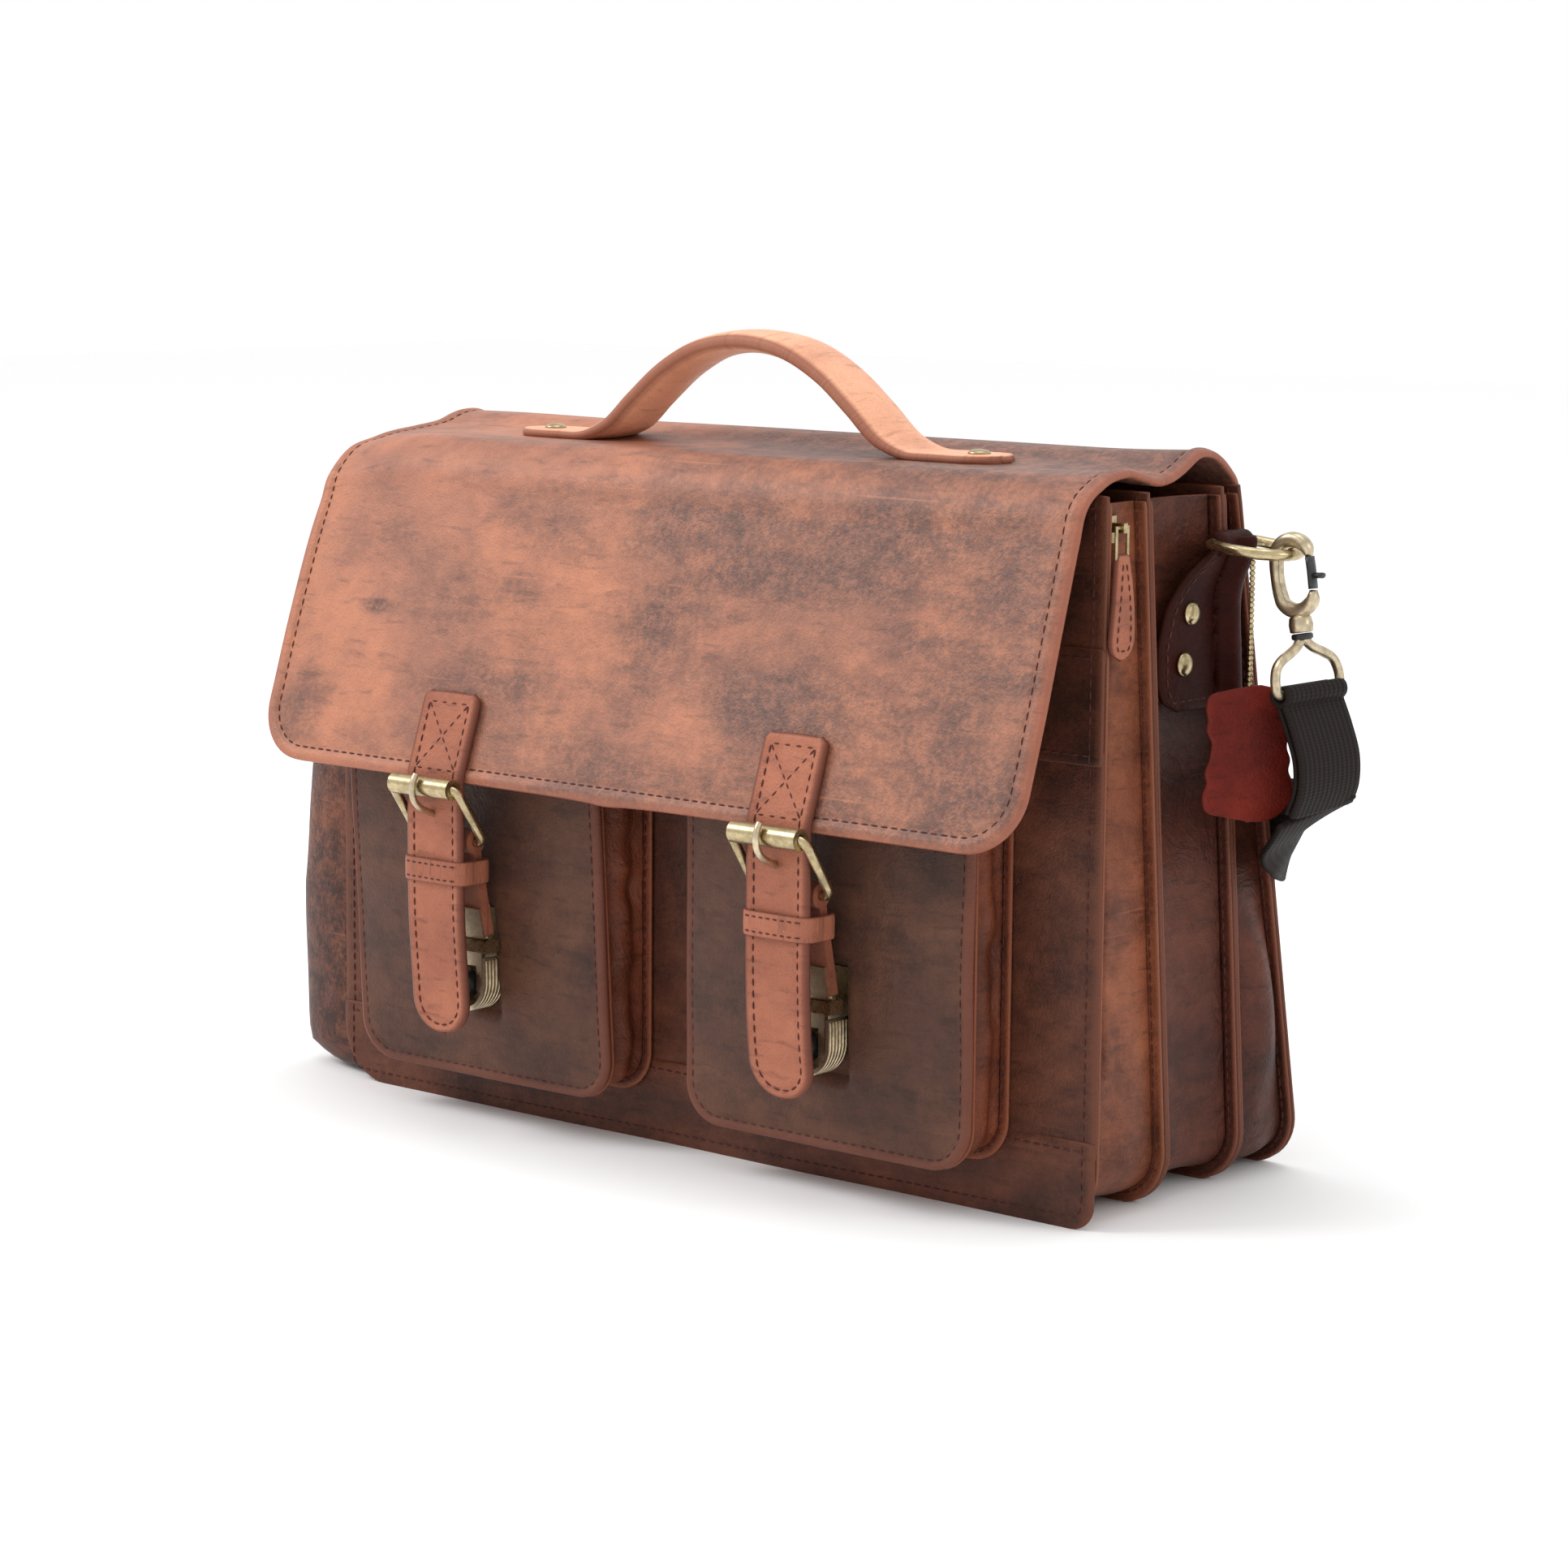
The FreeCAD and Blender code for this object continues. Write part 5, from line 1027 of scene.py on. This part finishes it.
# where the strap starts down the flap's fall and how far it stands off it; the crossed box's two ends
sewn_from, sewn_off = 0.105, 0.0033
box_top, box_foot = 0.0035, 0.031
keeper_half, keeper_square = 0.001, 0.42


def closing_strap(side, way, drift_far):
    """The strap of one closure: sewn along the flap's foot, then hanging straight down its pocket."""
    low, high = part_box("flap_strap_" + side)
    centre, half = (low.x + high.x) / 2, (high.x - low.x) / 2
    hang_y = low.y + strap_thick / 2 + 0.0003
    start = np.array([crease_y, crease_z]) + fall * sewn_from - np.array([-fall[1], fall[0]]) * sewn_off
    on_flap = [start + fall * d for d in (0, 0.012, 0.024, 0.033)]
    hanging = [(hang_y, 0.139), (hang_y, 0.120), (hang_y - 0.0004, 0.090), (hang_y + 0.0002, 0.065),
               (hang_y + 0.0012 * (1 + way), low.z)]
    line = through(on_flap + hanging, 200)
    run = np.concatenate([[0], np.cumsum(np.linalg.norm(np.diff(line, axis=0), axis=1))])
    long, round_foot = run[-1], half - 0.0008

    def spread(s, t):
        """Across the strap and down it; the free end drifts sideways as a used strap does."""
        drift = drift_far * np.clip((t - 0.055) / 0.085, 0, 1) ** 2
        y, z = (np.interp(t, run, line[:, k]) for k in (0, 1))
        return np.stack([centre + s + drift, y, z], -1)

    down, wide = cut_rows(half, long, round_foot, 90, 18)
    wide = np.minimum(wide, half - 0.0016 + 0.0016 * np.sqrt(np.clip(down / 0.0016, 0, 1)))
    s, t = np.linspace(-1, 1, 26)[None] * wide[:, None], np.repeat(down[:, None], 26, 1)
    inset = inset_of(s, t, half, long, round_foot)
    roll = 0.0004 * np.exp(-((inset - 0.0013) / 0.001) ** 2)
    roll = roll - 0.0003 * np.exp(-((inset - strap_edge) / 0.0008) ** 2)
    strap = leaf(spread, s, t, strap_thick, roll)
    strap["rim"][:s.size] = np.clip((0.0012 - inset.ravel()) / 0.0010, 0, 1) * 0.7
    side_x = half - strap_edge
    lines = [edge_line(half, long, round_foot, strap_edge, box_top),
             [(-side_x, box_top), (side_x, box_top)], [(-side_x, box_foot), (side_x, box_foot)],
             [(-side_x, box_top), (side_x, box_foot)], [(side_x, box_top), (-side_x, box_foot)]]
    seams = [thread(spread, line, strap_thick / 2 - 0.0002, *strap_stitch) for line in lines]
    item = build("closing_strap_" + side, [strap, *seams], [strap_hide, red_thread], "flap_front",
                 (7 + way, 2.2))
    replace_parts(item, "flap_strap_" + side)


def keeper(side, way):
    """The keeper: a flat band bent to a squared loop, sign(c)|c| to a power each way, with two rows."""
    low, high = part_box("keeper_" + side)
    turn = np.linspace(0, 2 * np.pi, 96, endpoint=False)
    mid, reach = (low + high) / 2, (high - low) / 2
    x, y = ((far - keeper_half) * np.sign(wave) * np.abs(wave) ** keeper_square
            for far, wave in ((reach.x, np.cos(turn)), (reach.y, np.sin(turn))))
    loop = np.stack([mid.x + x, mid.y + y, mid.z + 0 * turn], -1)
    band_loop = tube(loop, (0, 0, 1), keeper_half, reach.z, closed=True, sides=16, power=0.45)
    band_loop["rim"] = np.tile((np.abs(np.sin(2 * np.pi * np.arange(16) / 16)) > 0.8) * 0.9, 96)

    def face(s, t):
        """The keeper's front face, bowed as its rounded loop is."""
        bow = 0.9 * np.abs(s / reach.x) ** 4.6 * reach.y * 0.24
        return np.stack([mid.x + s, low.y + 0.0011 + bow, mid.z - t], -1)

    row_half, row_apart = reach.x * 0.8, 0.0029
    rows = [thread(face, [(-row_half, depth), (row_half, depth)], keeper_half, 0.0034, 0.0025, 0.0007)
            for depth in (-row_apart, row_apart)]
    item = build("keeper_loop_" + side, [band_loop, *rows], [strap_hide, red_thread], "flap_front",
                 (9.4 + way, 3.3))
    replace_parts(item, "keeper_" + side)


def buckle_wire(side):
    """The buckle's frame: round wire bent to a rectangle with quarter-circle corners, from heel to roller."""
    pin, heel = joint_at("roller_spin_" + side), joint_at("prong_tilt_" + side)
    low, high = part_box("buckle_frame_" + side)
    arm, bend = (high.x - low.x) / 2 - 0.0022, 0.0045
    rise = np.array([0, pin[1] - heel[1], pin[2] - heel[2]])
    tall = np.linalg.norm(rise)
    turn = np.linspace(0, np.pi / 2, 9)
    quarter = np.stack([arm - bend + bend * np.cos(turn), tall - bend + bend * np.sin(turn)], -1)
    ring = np.concatenate([quarter, (quarter * (-1, 1))[::-1], quarter * (-1, -1) + (0, tall),
                           (quarter * (1, -1))[::-1] + (0, tall)])
    path = np.array([pin[0], heel[1], heel[2]]) + ring[:, :1] * (1, 0, 0) + ring[:, 1:] / tall * rise
    wire = tube(path, unit(np.cross((1, 0, 0), rise)), 0.0021, 0.0019, closed=True, sides=14)
    item = build("buckle_wire_" + side, [wire], [brass], "flap_front")
    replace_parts(item, "buckle_frame_" + side)


def lock_ribs(side):
    """Six fine ribs round the lock tray's wall: straight down, half a circle, straight up."""
    low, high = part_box("lock_tray_" + side)
    mid, half = (low.x + high.x) / 2, (high.x - low.x) / 2
    wall_high, first_rib, rib_step, rib_round = 0.072, 0.0012, 0.0019, 0.0006
    turn = np.linspace(-np.pi, 0, 40)
    foot = np.stack([half * np.cos(turn), low.z + half + half * np.sin(turn)], -1)
    outline = np.concatenate([[(-half, wall_high)], foot, [(half, wall_high)]])
    ribs = []
    for k in range(6):
        depth = np.full(len(outline), low.y + first_rib + k * rib_step)
        path = np.stack([mid + outline[:, 0], depth, outline[:, 1]], -1)
        ribs.append(tube(path, (0, 1, 0), rib_round, sides=6))
    build("lock_ribs_" + side, ribs, [satin], "case")


for side, way, drift_far in (("l", -1, 0.004), ("r", 1, 0.002)):
    closing_strap(side, way, drift_far)
    keeper(side, way)
    buckle_wire(side)
    lock_ribs(side)

whole_strap = hide("strap_hide_whole", (0.33, 0.110, 0.062), (0.22, 0.070, 0.040), (0.07, 0.025, 0.018),
                   (0.11, 0.030, 0.018), oil=0.30, crease=0.5, whole=True)
black = plain("black_lacquer", (0.018, 0.018, 0.020), 0.25)
pairs = (("buckle_roller", brass), ("buckle_prong", satin), ("lock_tray", satin), ("lock_fork", satin),
         ("lock_collar", brass), ("chape", whole_strap), ("lock_button", black))
singles = (("zip_slider", brass), ("zip_link", brass), ("tag_chain", brass), ("strap_slider", brass))
for node, finish in [(f"{pair}_{side}", finish) for pair, finish in pairs for side in "lr"] + list(singles):
    frame["nodes"][node].data.materials.clear()
    frame["nodes"][node].data.materials.append(finish)


# --- strap hardware -------------------------------------------------------------------------
# On each end a leather tab is folded round the rear divider's ridge and riveted twice. Its top holds
# a brass D-ring; a snap hook with a swivel eye hangs from the ring.
tab_hide = hide("tab_hide", (0.048, 0.0085, 0.0048), (0.023, 0.0042, 0.0028), (0.007, 0.0020, 0.0016),
                (0.030, 0.007, 0.004), oil=0.46, crease=0.8, gloss=0.08)
wall_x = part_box("ring_tab_r")[0].x
ring_pin = joint_at("ring_swing_r")
tab_low, tab_high = 0.1915, 0.2555
tab_tall, tab_thick, tab_edge = tab_high - tab_low, 0.0028, 0.0032
fold_out = 0.0075
roll_half, roll_round = 0.0112, 0.0049


def tab_spread(s, t):
    """The tab: s runs back along the gusset, then out round the ridge; the top lifts to the ring's bar."""
    z = tab_high - t
    ridge = second[0] + second[1] * z - 0.0050
    round_ridge = np.clip((s - ridge) / 0.012, 0, 1)
    lift = np.exp(-((t / 0.014) ** 2))
    x = wall_x + 0.0022 + fold_out * np.sin(np.pi * round_ridge) ** 0.7 + 0.0085 * lift * (s < 0.06)
    x = x + 0.0012 * np.sin(np.pi * np.clip((s - 0.004) / 0.04, 0, 1))
    return np.stack([x, np.minimum(s, ridge + 0.0095), z], -1)


share = np.linspace(0, 1, 44)
fore = np.interp(share, (0, 0.08, 0.2, 0.4, 0.62, 0.85, 0.95, 1.0),
                 (0.0270, 0.0250, 0.0170, 0.0090, 0.0048, 0.0052, 0.0085, 0.0150))
aft = np.interp(share, (0, 0.10, 0.2, 1.0), (0.0480, 0.0480, 0.0530, 0.0560))
s = fore[:, None] + np.linspace(0, 1, 44)[None] * (aft - fore)[:, None]
t = np.repeat(share[:, None] * tab_tall, 44, 1)
tab = leaf(tab_spread, s, t, tab_thick)
tab["rim"][:s.size] = np.clip((0.0018 - (s - fore[:, None]).ravel()) / 0.0012, 0, 1) * 0.5
line = np.concatenate([np.stack([fore[4:-2] + tab_edge, share[4:-2] * tab_tall], -1),
                       [(0.020, tab_tall - 0.0035), (0.038, tab_tall - 0.0035)]])
tab_seam = thread(tab_spread, line, 0.0013, 0.0046, 0.0035, 0.0008)
share = np.linspace(-1, 1, 24)
roll_path = np.array(ring_pin) + share[:, None] * (0, roll_half, 0)
roll = tube(roll_path, (1, 0, 0), roll_round, sides=20, scale=np.sqrt(np.clip(1 - share ** 12, 0.35, 1)))
tab_heads = [dome((wall_x + 0.0052, y, z), (1, 0, 0), 0.0047, 0.0022)
             for y, z in ((0.0214, 0.228), (0.0174, 0.209))]


def mirror(lot):
    """The left-hand twin of a lot: x turned over and every face wound the other way."""
    return {**lot, "points": lot["points"] * (-1, 1, 1), "faces": lot["faces"][:, ::-1]}


def twins(name, lots, materials, body, node):
    """The right-hand piece and its left-hand twin."""
    for side, made in (("r", lots), ("l", [mirror(lot) for lot in lots])):
        own_body = body if body == "case" else f"{body}_{side}"
        item = build(f"{name}_{side}", made, materials, own_body, (4.4, 1.9))
        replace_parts(item, f"{node}_{side}")


twins("ring_tab_leaf", [tab, roll, tab_seam], [tab_hide, red_thread], "case", "ring_tab")
item = build("tab_rivet_heads", tab_heads + [mirror(lot) for lot in tab_heads], [brass], "case")
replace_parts(item, "tab_rivets")

tilt, swing = np.radians(6), np.radians(10)
ring_half, ring_side, ring_wire = 0.015, 0.013, 0.0022
bow = np.linspace(-np.pi / 2, np.pi / 2, 40)
corner = np.linspace(0, np.pi / 2, 7)[1:-1]
bar_round = 0.003
near = np.stack([1 - np.sin(corner), np.cos(corner) - 1], -1) * bar_round + (0, ring_half)
round_side = np.stack([ring_side + ring_half * np.cos(bow), ring_half * np.sin(bow)], -1)
bar = [(0, ring_half - 0.004), (0, 0), (0, -ring_half + 0.004)]
flat_ring = np.concatenate([round_side, near, bar, (near * (1, -1))[::-1]])
ring_path = np.stack([ring_pin[0] + flat_ring[:, 0] * np.cos(tilt), ring_pin[1] + flat_ring[:, 1],
                      ring_pin[2] - flat_ring[:, 0] * np.sin(tilt)], -1)
ring = tube(ring_path, (np.sin(tilt), 0, np.cos(tilt)), ring_wire, closed=True, sides=16)
twins("d_ring", [ring], [brass], "ring", "ring")

hook_at = np.array(joint_at("hook_turn_r"))


def hung(points):
    """Points in the hook's own upright plane, width, depth and height, set at the ring and swung out."""
    x, y, z = np.asarray(points, float).T
    out, up = x * np.cos(swing) - z * np.sin(swing), x * np.sin(swing) + z * np.cos(swing)
    return hook_at + np.stack([out, y, up], -1)


across_hook, top_of_hook, hook_tall, hook_thick = 0.0078, 0.00895, 0.033, 0.0029
straight = hook_tall / 2 - 0.0098
turn = np.radians(np.linspace(20, 340, 70))
oval_x, oval_z = across_hook * np.cos(turn), 0.0078 * np.sin(turn)
mid_z = top_of_hook - hook_tall / 2
oval = np.stack([oval_x, 0 * turn, mid_z + oval_z + np.clip(oval_z / 0.004, -1, 1) * (straight - 0.0012)], -1)
depth_axis = (0, 1, 0)
ends = np.sqrt(np.clip(1 - np.linspace(-1, 1, 70) ** 24, 0.3, 1))
bulk = 0.0021 + 0.0008 * np.abs(np.sin(turn))
hook = tube(hung(oval), depth_axis, bulk, hook_thick, sides=16, power=0.75, scale=ends)
boss_low = mid_z - hook_tall / 2 - 0.005
boss = tube(hung([(0, 0, boss_low + d) for d in (0, 0.0004, 0.003, 0.0055, 0.0068)]), depth_axis,
            np.array((0.0038, 0.0044, 0.0046, 0.0042, 0.003)), sides=20)
twins("snap_hook", [hook, boss], [satin], "hook", "hook")
gate_path = hung([(x, 0, mid_z + rise) for x, rise in ((0.0074, 0.0062), (0.0075, 0.003), (0.0075, 0),
                                                       (0.0074, -0.003), (0.0073, -0.0058))])
gate = tube(gate_path, depth_axis, 0.0012, 0.0024, sides=12, power=0.7)
thumb_path = hung([(x, 0, mid_z - drop) for x, drop in ((0.0082, 0.001), (0.0108, 0.0012), (0.0122, 0.0014))])
thumb = tube(thumb_path, depth_axis, 0.0011, 0.0020, sides=10)
twins("snap_gate", [gate, thumb], [black], "gate", "hook_gate")

eye_top, bar_drop, eye_half, eye_wire = boss_low - 0.0003, 0.022, 0.0215, 0.0019
bar_z = eye_top - bar_drop
leg = through([(0.0012, eye_top - 0.0022), (0.0035, eye_top - 0.0040), (eye_half - 0.001, bar_z + 0.0085),
               (eye_half, bar_z + 0.005), (eye_half - 0.0006, bar_z + 0.0014), (eye_half - 0.003, bar_z)], 40)
half_eye = np.stack([0 * leg[:, 0], leg[:, 0], leg[:, 1]], -1)
eye_path = np.concatenate([half_eye, (half_eye * (1, -1, 1))[::-1]])
eye_lots = [tube(hung(eye_path), (np.cos(swing), 0, np.sin(swing)), eye_wire, closed=True, sides=14),
            tube(hung([(0, 0, eye_top - d) for d in (0, 0.0006, 0.0018, 0.0024)]), depth_axis,
                 np.array((0.0036, 0.0041, 0.0041, 0.0034)), sides=20)]
eye_lots[1]["finish"] = 1
twins("swivel_eye", eye_lots, [satin, black], "eye", "hook_eye")


# --- shoulder strap -------------------------------------------------------------------------
# Ribbed near-black webbing, doubled and sewn round each swivel eye with a strip of hide inside, then
# bellying out and turning behind the case, where it lies across the back panel.
webbing_half, webbing_thick = 0.019, 0.0024
outer_off, inner_off, strip_off = 0.0012, -0.0013, -0.0031
strip_half, strip_thick, wrap_round = 0.012, 0.0016, 0.0034
weave = bpy.data.materials.new("ribbed_webbing")
weave.use_nodes = True
tree = weave.node_tree
where = tree.nodes.new("ShaderNodeTexCoord").outputs["UV"]
cut_apart = lay(tree, "ShaderNodeSeparateXYZ", None, Vector=where)
rib_pitch, pick_pitch = 0.0031, 0.0011
rib = math_of(tree, "SINE", times(tree, cut_apart.outputs[0], 2 * np.pi / rib_pitch))
pick = math_of(tree, "SINE", times(tree, cut_apart.outputs[1], 2 * np.pi / pick_pitch))
woven = plus(tree, times(tree, rib, 0.5), times(tree, pick, 0.3))
woven = math_of(tree, "ADD", times(tree, woven, 0.5), 0.5, True)
fuzz = cloud(tree, where, 900, 2, 0.7)
shader = tree.nodes["Principled BSDF"]
raised = lay(tree, "ShaderNodeBump", None, Height=woven, Distance=0.0005, Strength=0.8).outputs[0]
yarn = tint(tree, woven, (0.0035, 0.0022, 0.0018, 1), (0.018, 0.0115, 0.0095, 1))
for value, target in ((yarn, "Base Color"), (plus(tree, times(tree, fuzz, 0.2), 0.55), "Roughness"),
                      (raised, "Normal")):
    tree.links.new(value, shader.inputs[target])
shader.inputs["Specular IOR Level"].default_value = 0.12

bar_at = hung([(0, 0, bar_z)])[0]
under = 0.002 + webbing_thick - 0.0005
run_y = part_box("shoulder_strap")[1].y - webbing_thick / 2
# middle line of the webbing below the eye's bar, and the way its width points there
run_low, bar_low = (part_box("shoulder_strap")[0].z + webbing_half) - bar_at[2], run_y - bar_at[1]
strap_points = np.array([(0.0006, 0, -under), (0.005, 0, -0.014), (0.0085, 0, -0.025), (0.0085, 0, -0.035),
                         (0.005, 0.0005, -0.044), (-0.003, 0.0045, -0.051), (-0.014, 0.018, run_low + 0.007),
                         (-0.026, 0.036, run_low + 0.003), (-0.042, bar_low - 0.004, run_low + 0.0005),
                         (-0.066, bar_low, run_low), (-0.104, bar_low, run_low)]) + bar_at
strap_ways = np.array([(0, 1, 0), (0, 1, 0), (0, 1, 0), (0, 1, 0), (0, 1, 0), (0, 1, 0.15), (0, 0.8, 0.6),
                       (0.2, 0.45, 0.9), (0.1, 0.1, 1), (0, 0, 1), (0, 0, 1)])


def band_of(points, ways, count):
    """A spread for webbing along a smooth line, its width turning as the hand-set ways do."""
    both = through(np.concatenate([points, ways * 0.01], 1), count)
    line, turn = both[:, :3], both[:, 3:]
    run = np.concatenate([[0], np.cumsum(np.linalg.norm(np.diff(line, axis=0), axis=1))])
    ahead = unit(np.gradient(line, axis=0))
    turn = unit(turn - ahead * np.sum(turn * ahead, -1, keepdims=True))

    def spread(s, t, off=0.0):
        place = np.stack([np.interp(t, run, line[:, k]) for k in range(3)], -1)
        side = np.stack([np.interp(t, run, turn[:, k]) for k in range(3)], -1)
        front = np.stack([np.interp(t, run, np.cross(ahead, turn)[:, k]) for k in range(3)], -1)
        return place + side * np.asarray(s)[..., None] + front * off
    return spread, run[-1]


tail_spread, tail_long = band_of(strap_points[:5], strap_ways[:5], 120)
s, t = np.meshgrid(np.linspace(webbing_half, -webbing_half, 16), np.linspace(0, tail_long - 0.0012, 60))
outer_tail = leaf(lambda s, t: tail_spread(s, t, outer_off), s, t, webbing_thick)
inner_tail = leaf(lambda s, t: tail_spread(s, t, inner_off), s, t, webbing_thick * 0.8)
turn = np.linspace(0.25, 1.75, 40) * np.pi
wrap = np.stack([wrap_round * np.sin(turn), 0 * turn, bar_z + wrap_round * np.cos(turn)], -1)
fold_run = np.concatenate([[0], np.cumsum(np.linalg.norm(np.diff(wrap, axis=0), axis=1))])
wrap_world = hung(wrap)


def fold_spread(s, t):
    """The webbing's turn round the eye's bar."""
    place = np.stack([np.interp(t, fold_run, wrap_world[:, k]) for k in range(3)], -1)
    return place + np.asarray(s)[..., None] * np.array((0, 1.0, 0))


s, t = np.meshgrid(np.linspace(webbing_half, -webbing_half, 16), np.linspace(0, fold_run[-1], 30))
fold_lot = leaf(fold_spread, s, t, webbing_thick)
s, t = np.meshgrid(np.linspace(strip_half, -strip_half, 10), np.linspace(0.004, tail_long * 0.8, 40))
strip = leaf(lambda s, t: tail_spread(s, t, strip_off), s, t, strip_thick)
strip["finish"] = 1
tail_lots = [outer_tail, inner_tail, fold_lot, strip]
twins("webbing_tail", tail_lots, [weave, tab_hide], "eye", "webbing_end")

flip = np.array([-1, 1, 1])
long_points = np.concatenate([strap_points[4:], (strap_points[4:] * flip)[::-1]])
long_ways = np.concatenate([strap_ways[4:], (strap_ways[4:] * flip)[::-1]])
long_spread, long_run = band_of(long_points, long_ways, 500)
s, t = np.meshgrid(np.linspace(webbing_half, -webbing_half, 16), np.linspace(0.0012, long_run - 0.0012, 420))
item = build("shoulder_webbing", [leaf(long_spread, s, t, webbing_thick)], [weave], "case")
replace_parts(item, "shoulder_strap")


# --- tag ------------------------------------------------------------------------------------
# A hide-shaped tag of red suede with wavy cut edges, hung from the ring on a ball chain.
tag_hide = hide("tag_hide", (0.225, 0.020, 0.0095), (0.098, 0.0098, 0.0065), (0.024, 0.0045, 0.0038),
                (0.13, 0.020, 0.012), oil=0.46, crease=0.6, gloss=0.14)
low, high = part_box("tag")
tag_tall, tag_thick = high.z - low.z, 0.0022
tag_mid = (np.array(low) + np.array(high)) / 2
tag_turn = np.arctan2(high.y - low.y, high.x - low.x)
tag_half = np.hypot(high.x - low.x, high.y - low.y) / 2 - 0.001
share = np.linspace(0, 1, 70)
waist = 1 - 0.17 * np.exp(-((share - 0.45) / 0.22) ** 2)
ends = np.sqrt(np.clip(1 - (np.abs(share - 0.5) * 2) ** 9, 0.10, 1))
wavy = [1 + 0.035 * np.sin(share * 23 + p) + 0.02 * np.sin(share * 41 + p * 2) for p in (0.4, 2.1)]
left, right_edge = (tag_half * waist * ends * w for w in wavy)
s = -left[:, None] + np.linspace(0, 1, 40)[None] * (left + right_edge)[:, None]
t = np.repeat(share[:, None] * tag_tall, 40, 1)


def tag_spread(s, t):
    """The tag turned about its own upright line, cupped a little, with a wavy foot."""
    out = 0.0009 * np.sin(np.pi * t / tag_tall) + 0.0006 * np.sin(s / 0.006)
    return np.stack([tag_mid[0] + s * np.cos(tag_turn) + out * np.sin(tag_turn),
                     tag_mid[1] + s * np.sin(tag_turn) - out * np.cos(tag_turn),
                     high.z - t - 0.0012 * np.sin(s / 0.0045) * (t / tag_tall - 0.5)], -1)


item = build("tag_leaf", [leaf(tag_spread, s, t, tag_thick)], [tag_hide], "tag", (8.3, 0.6))
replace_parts(item, "tag")
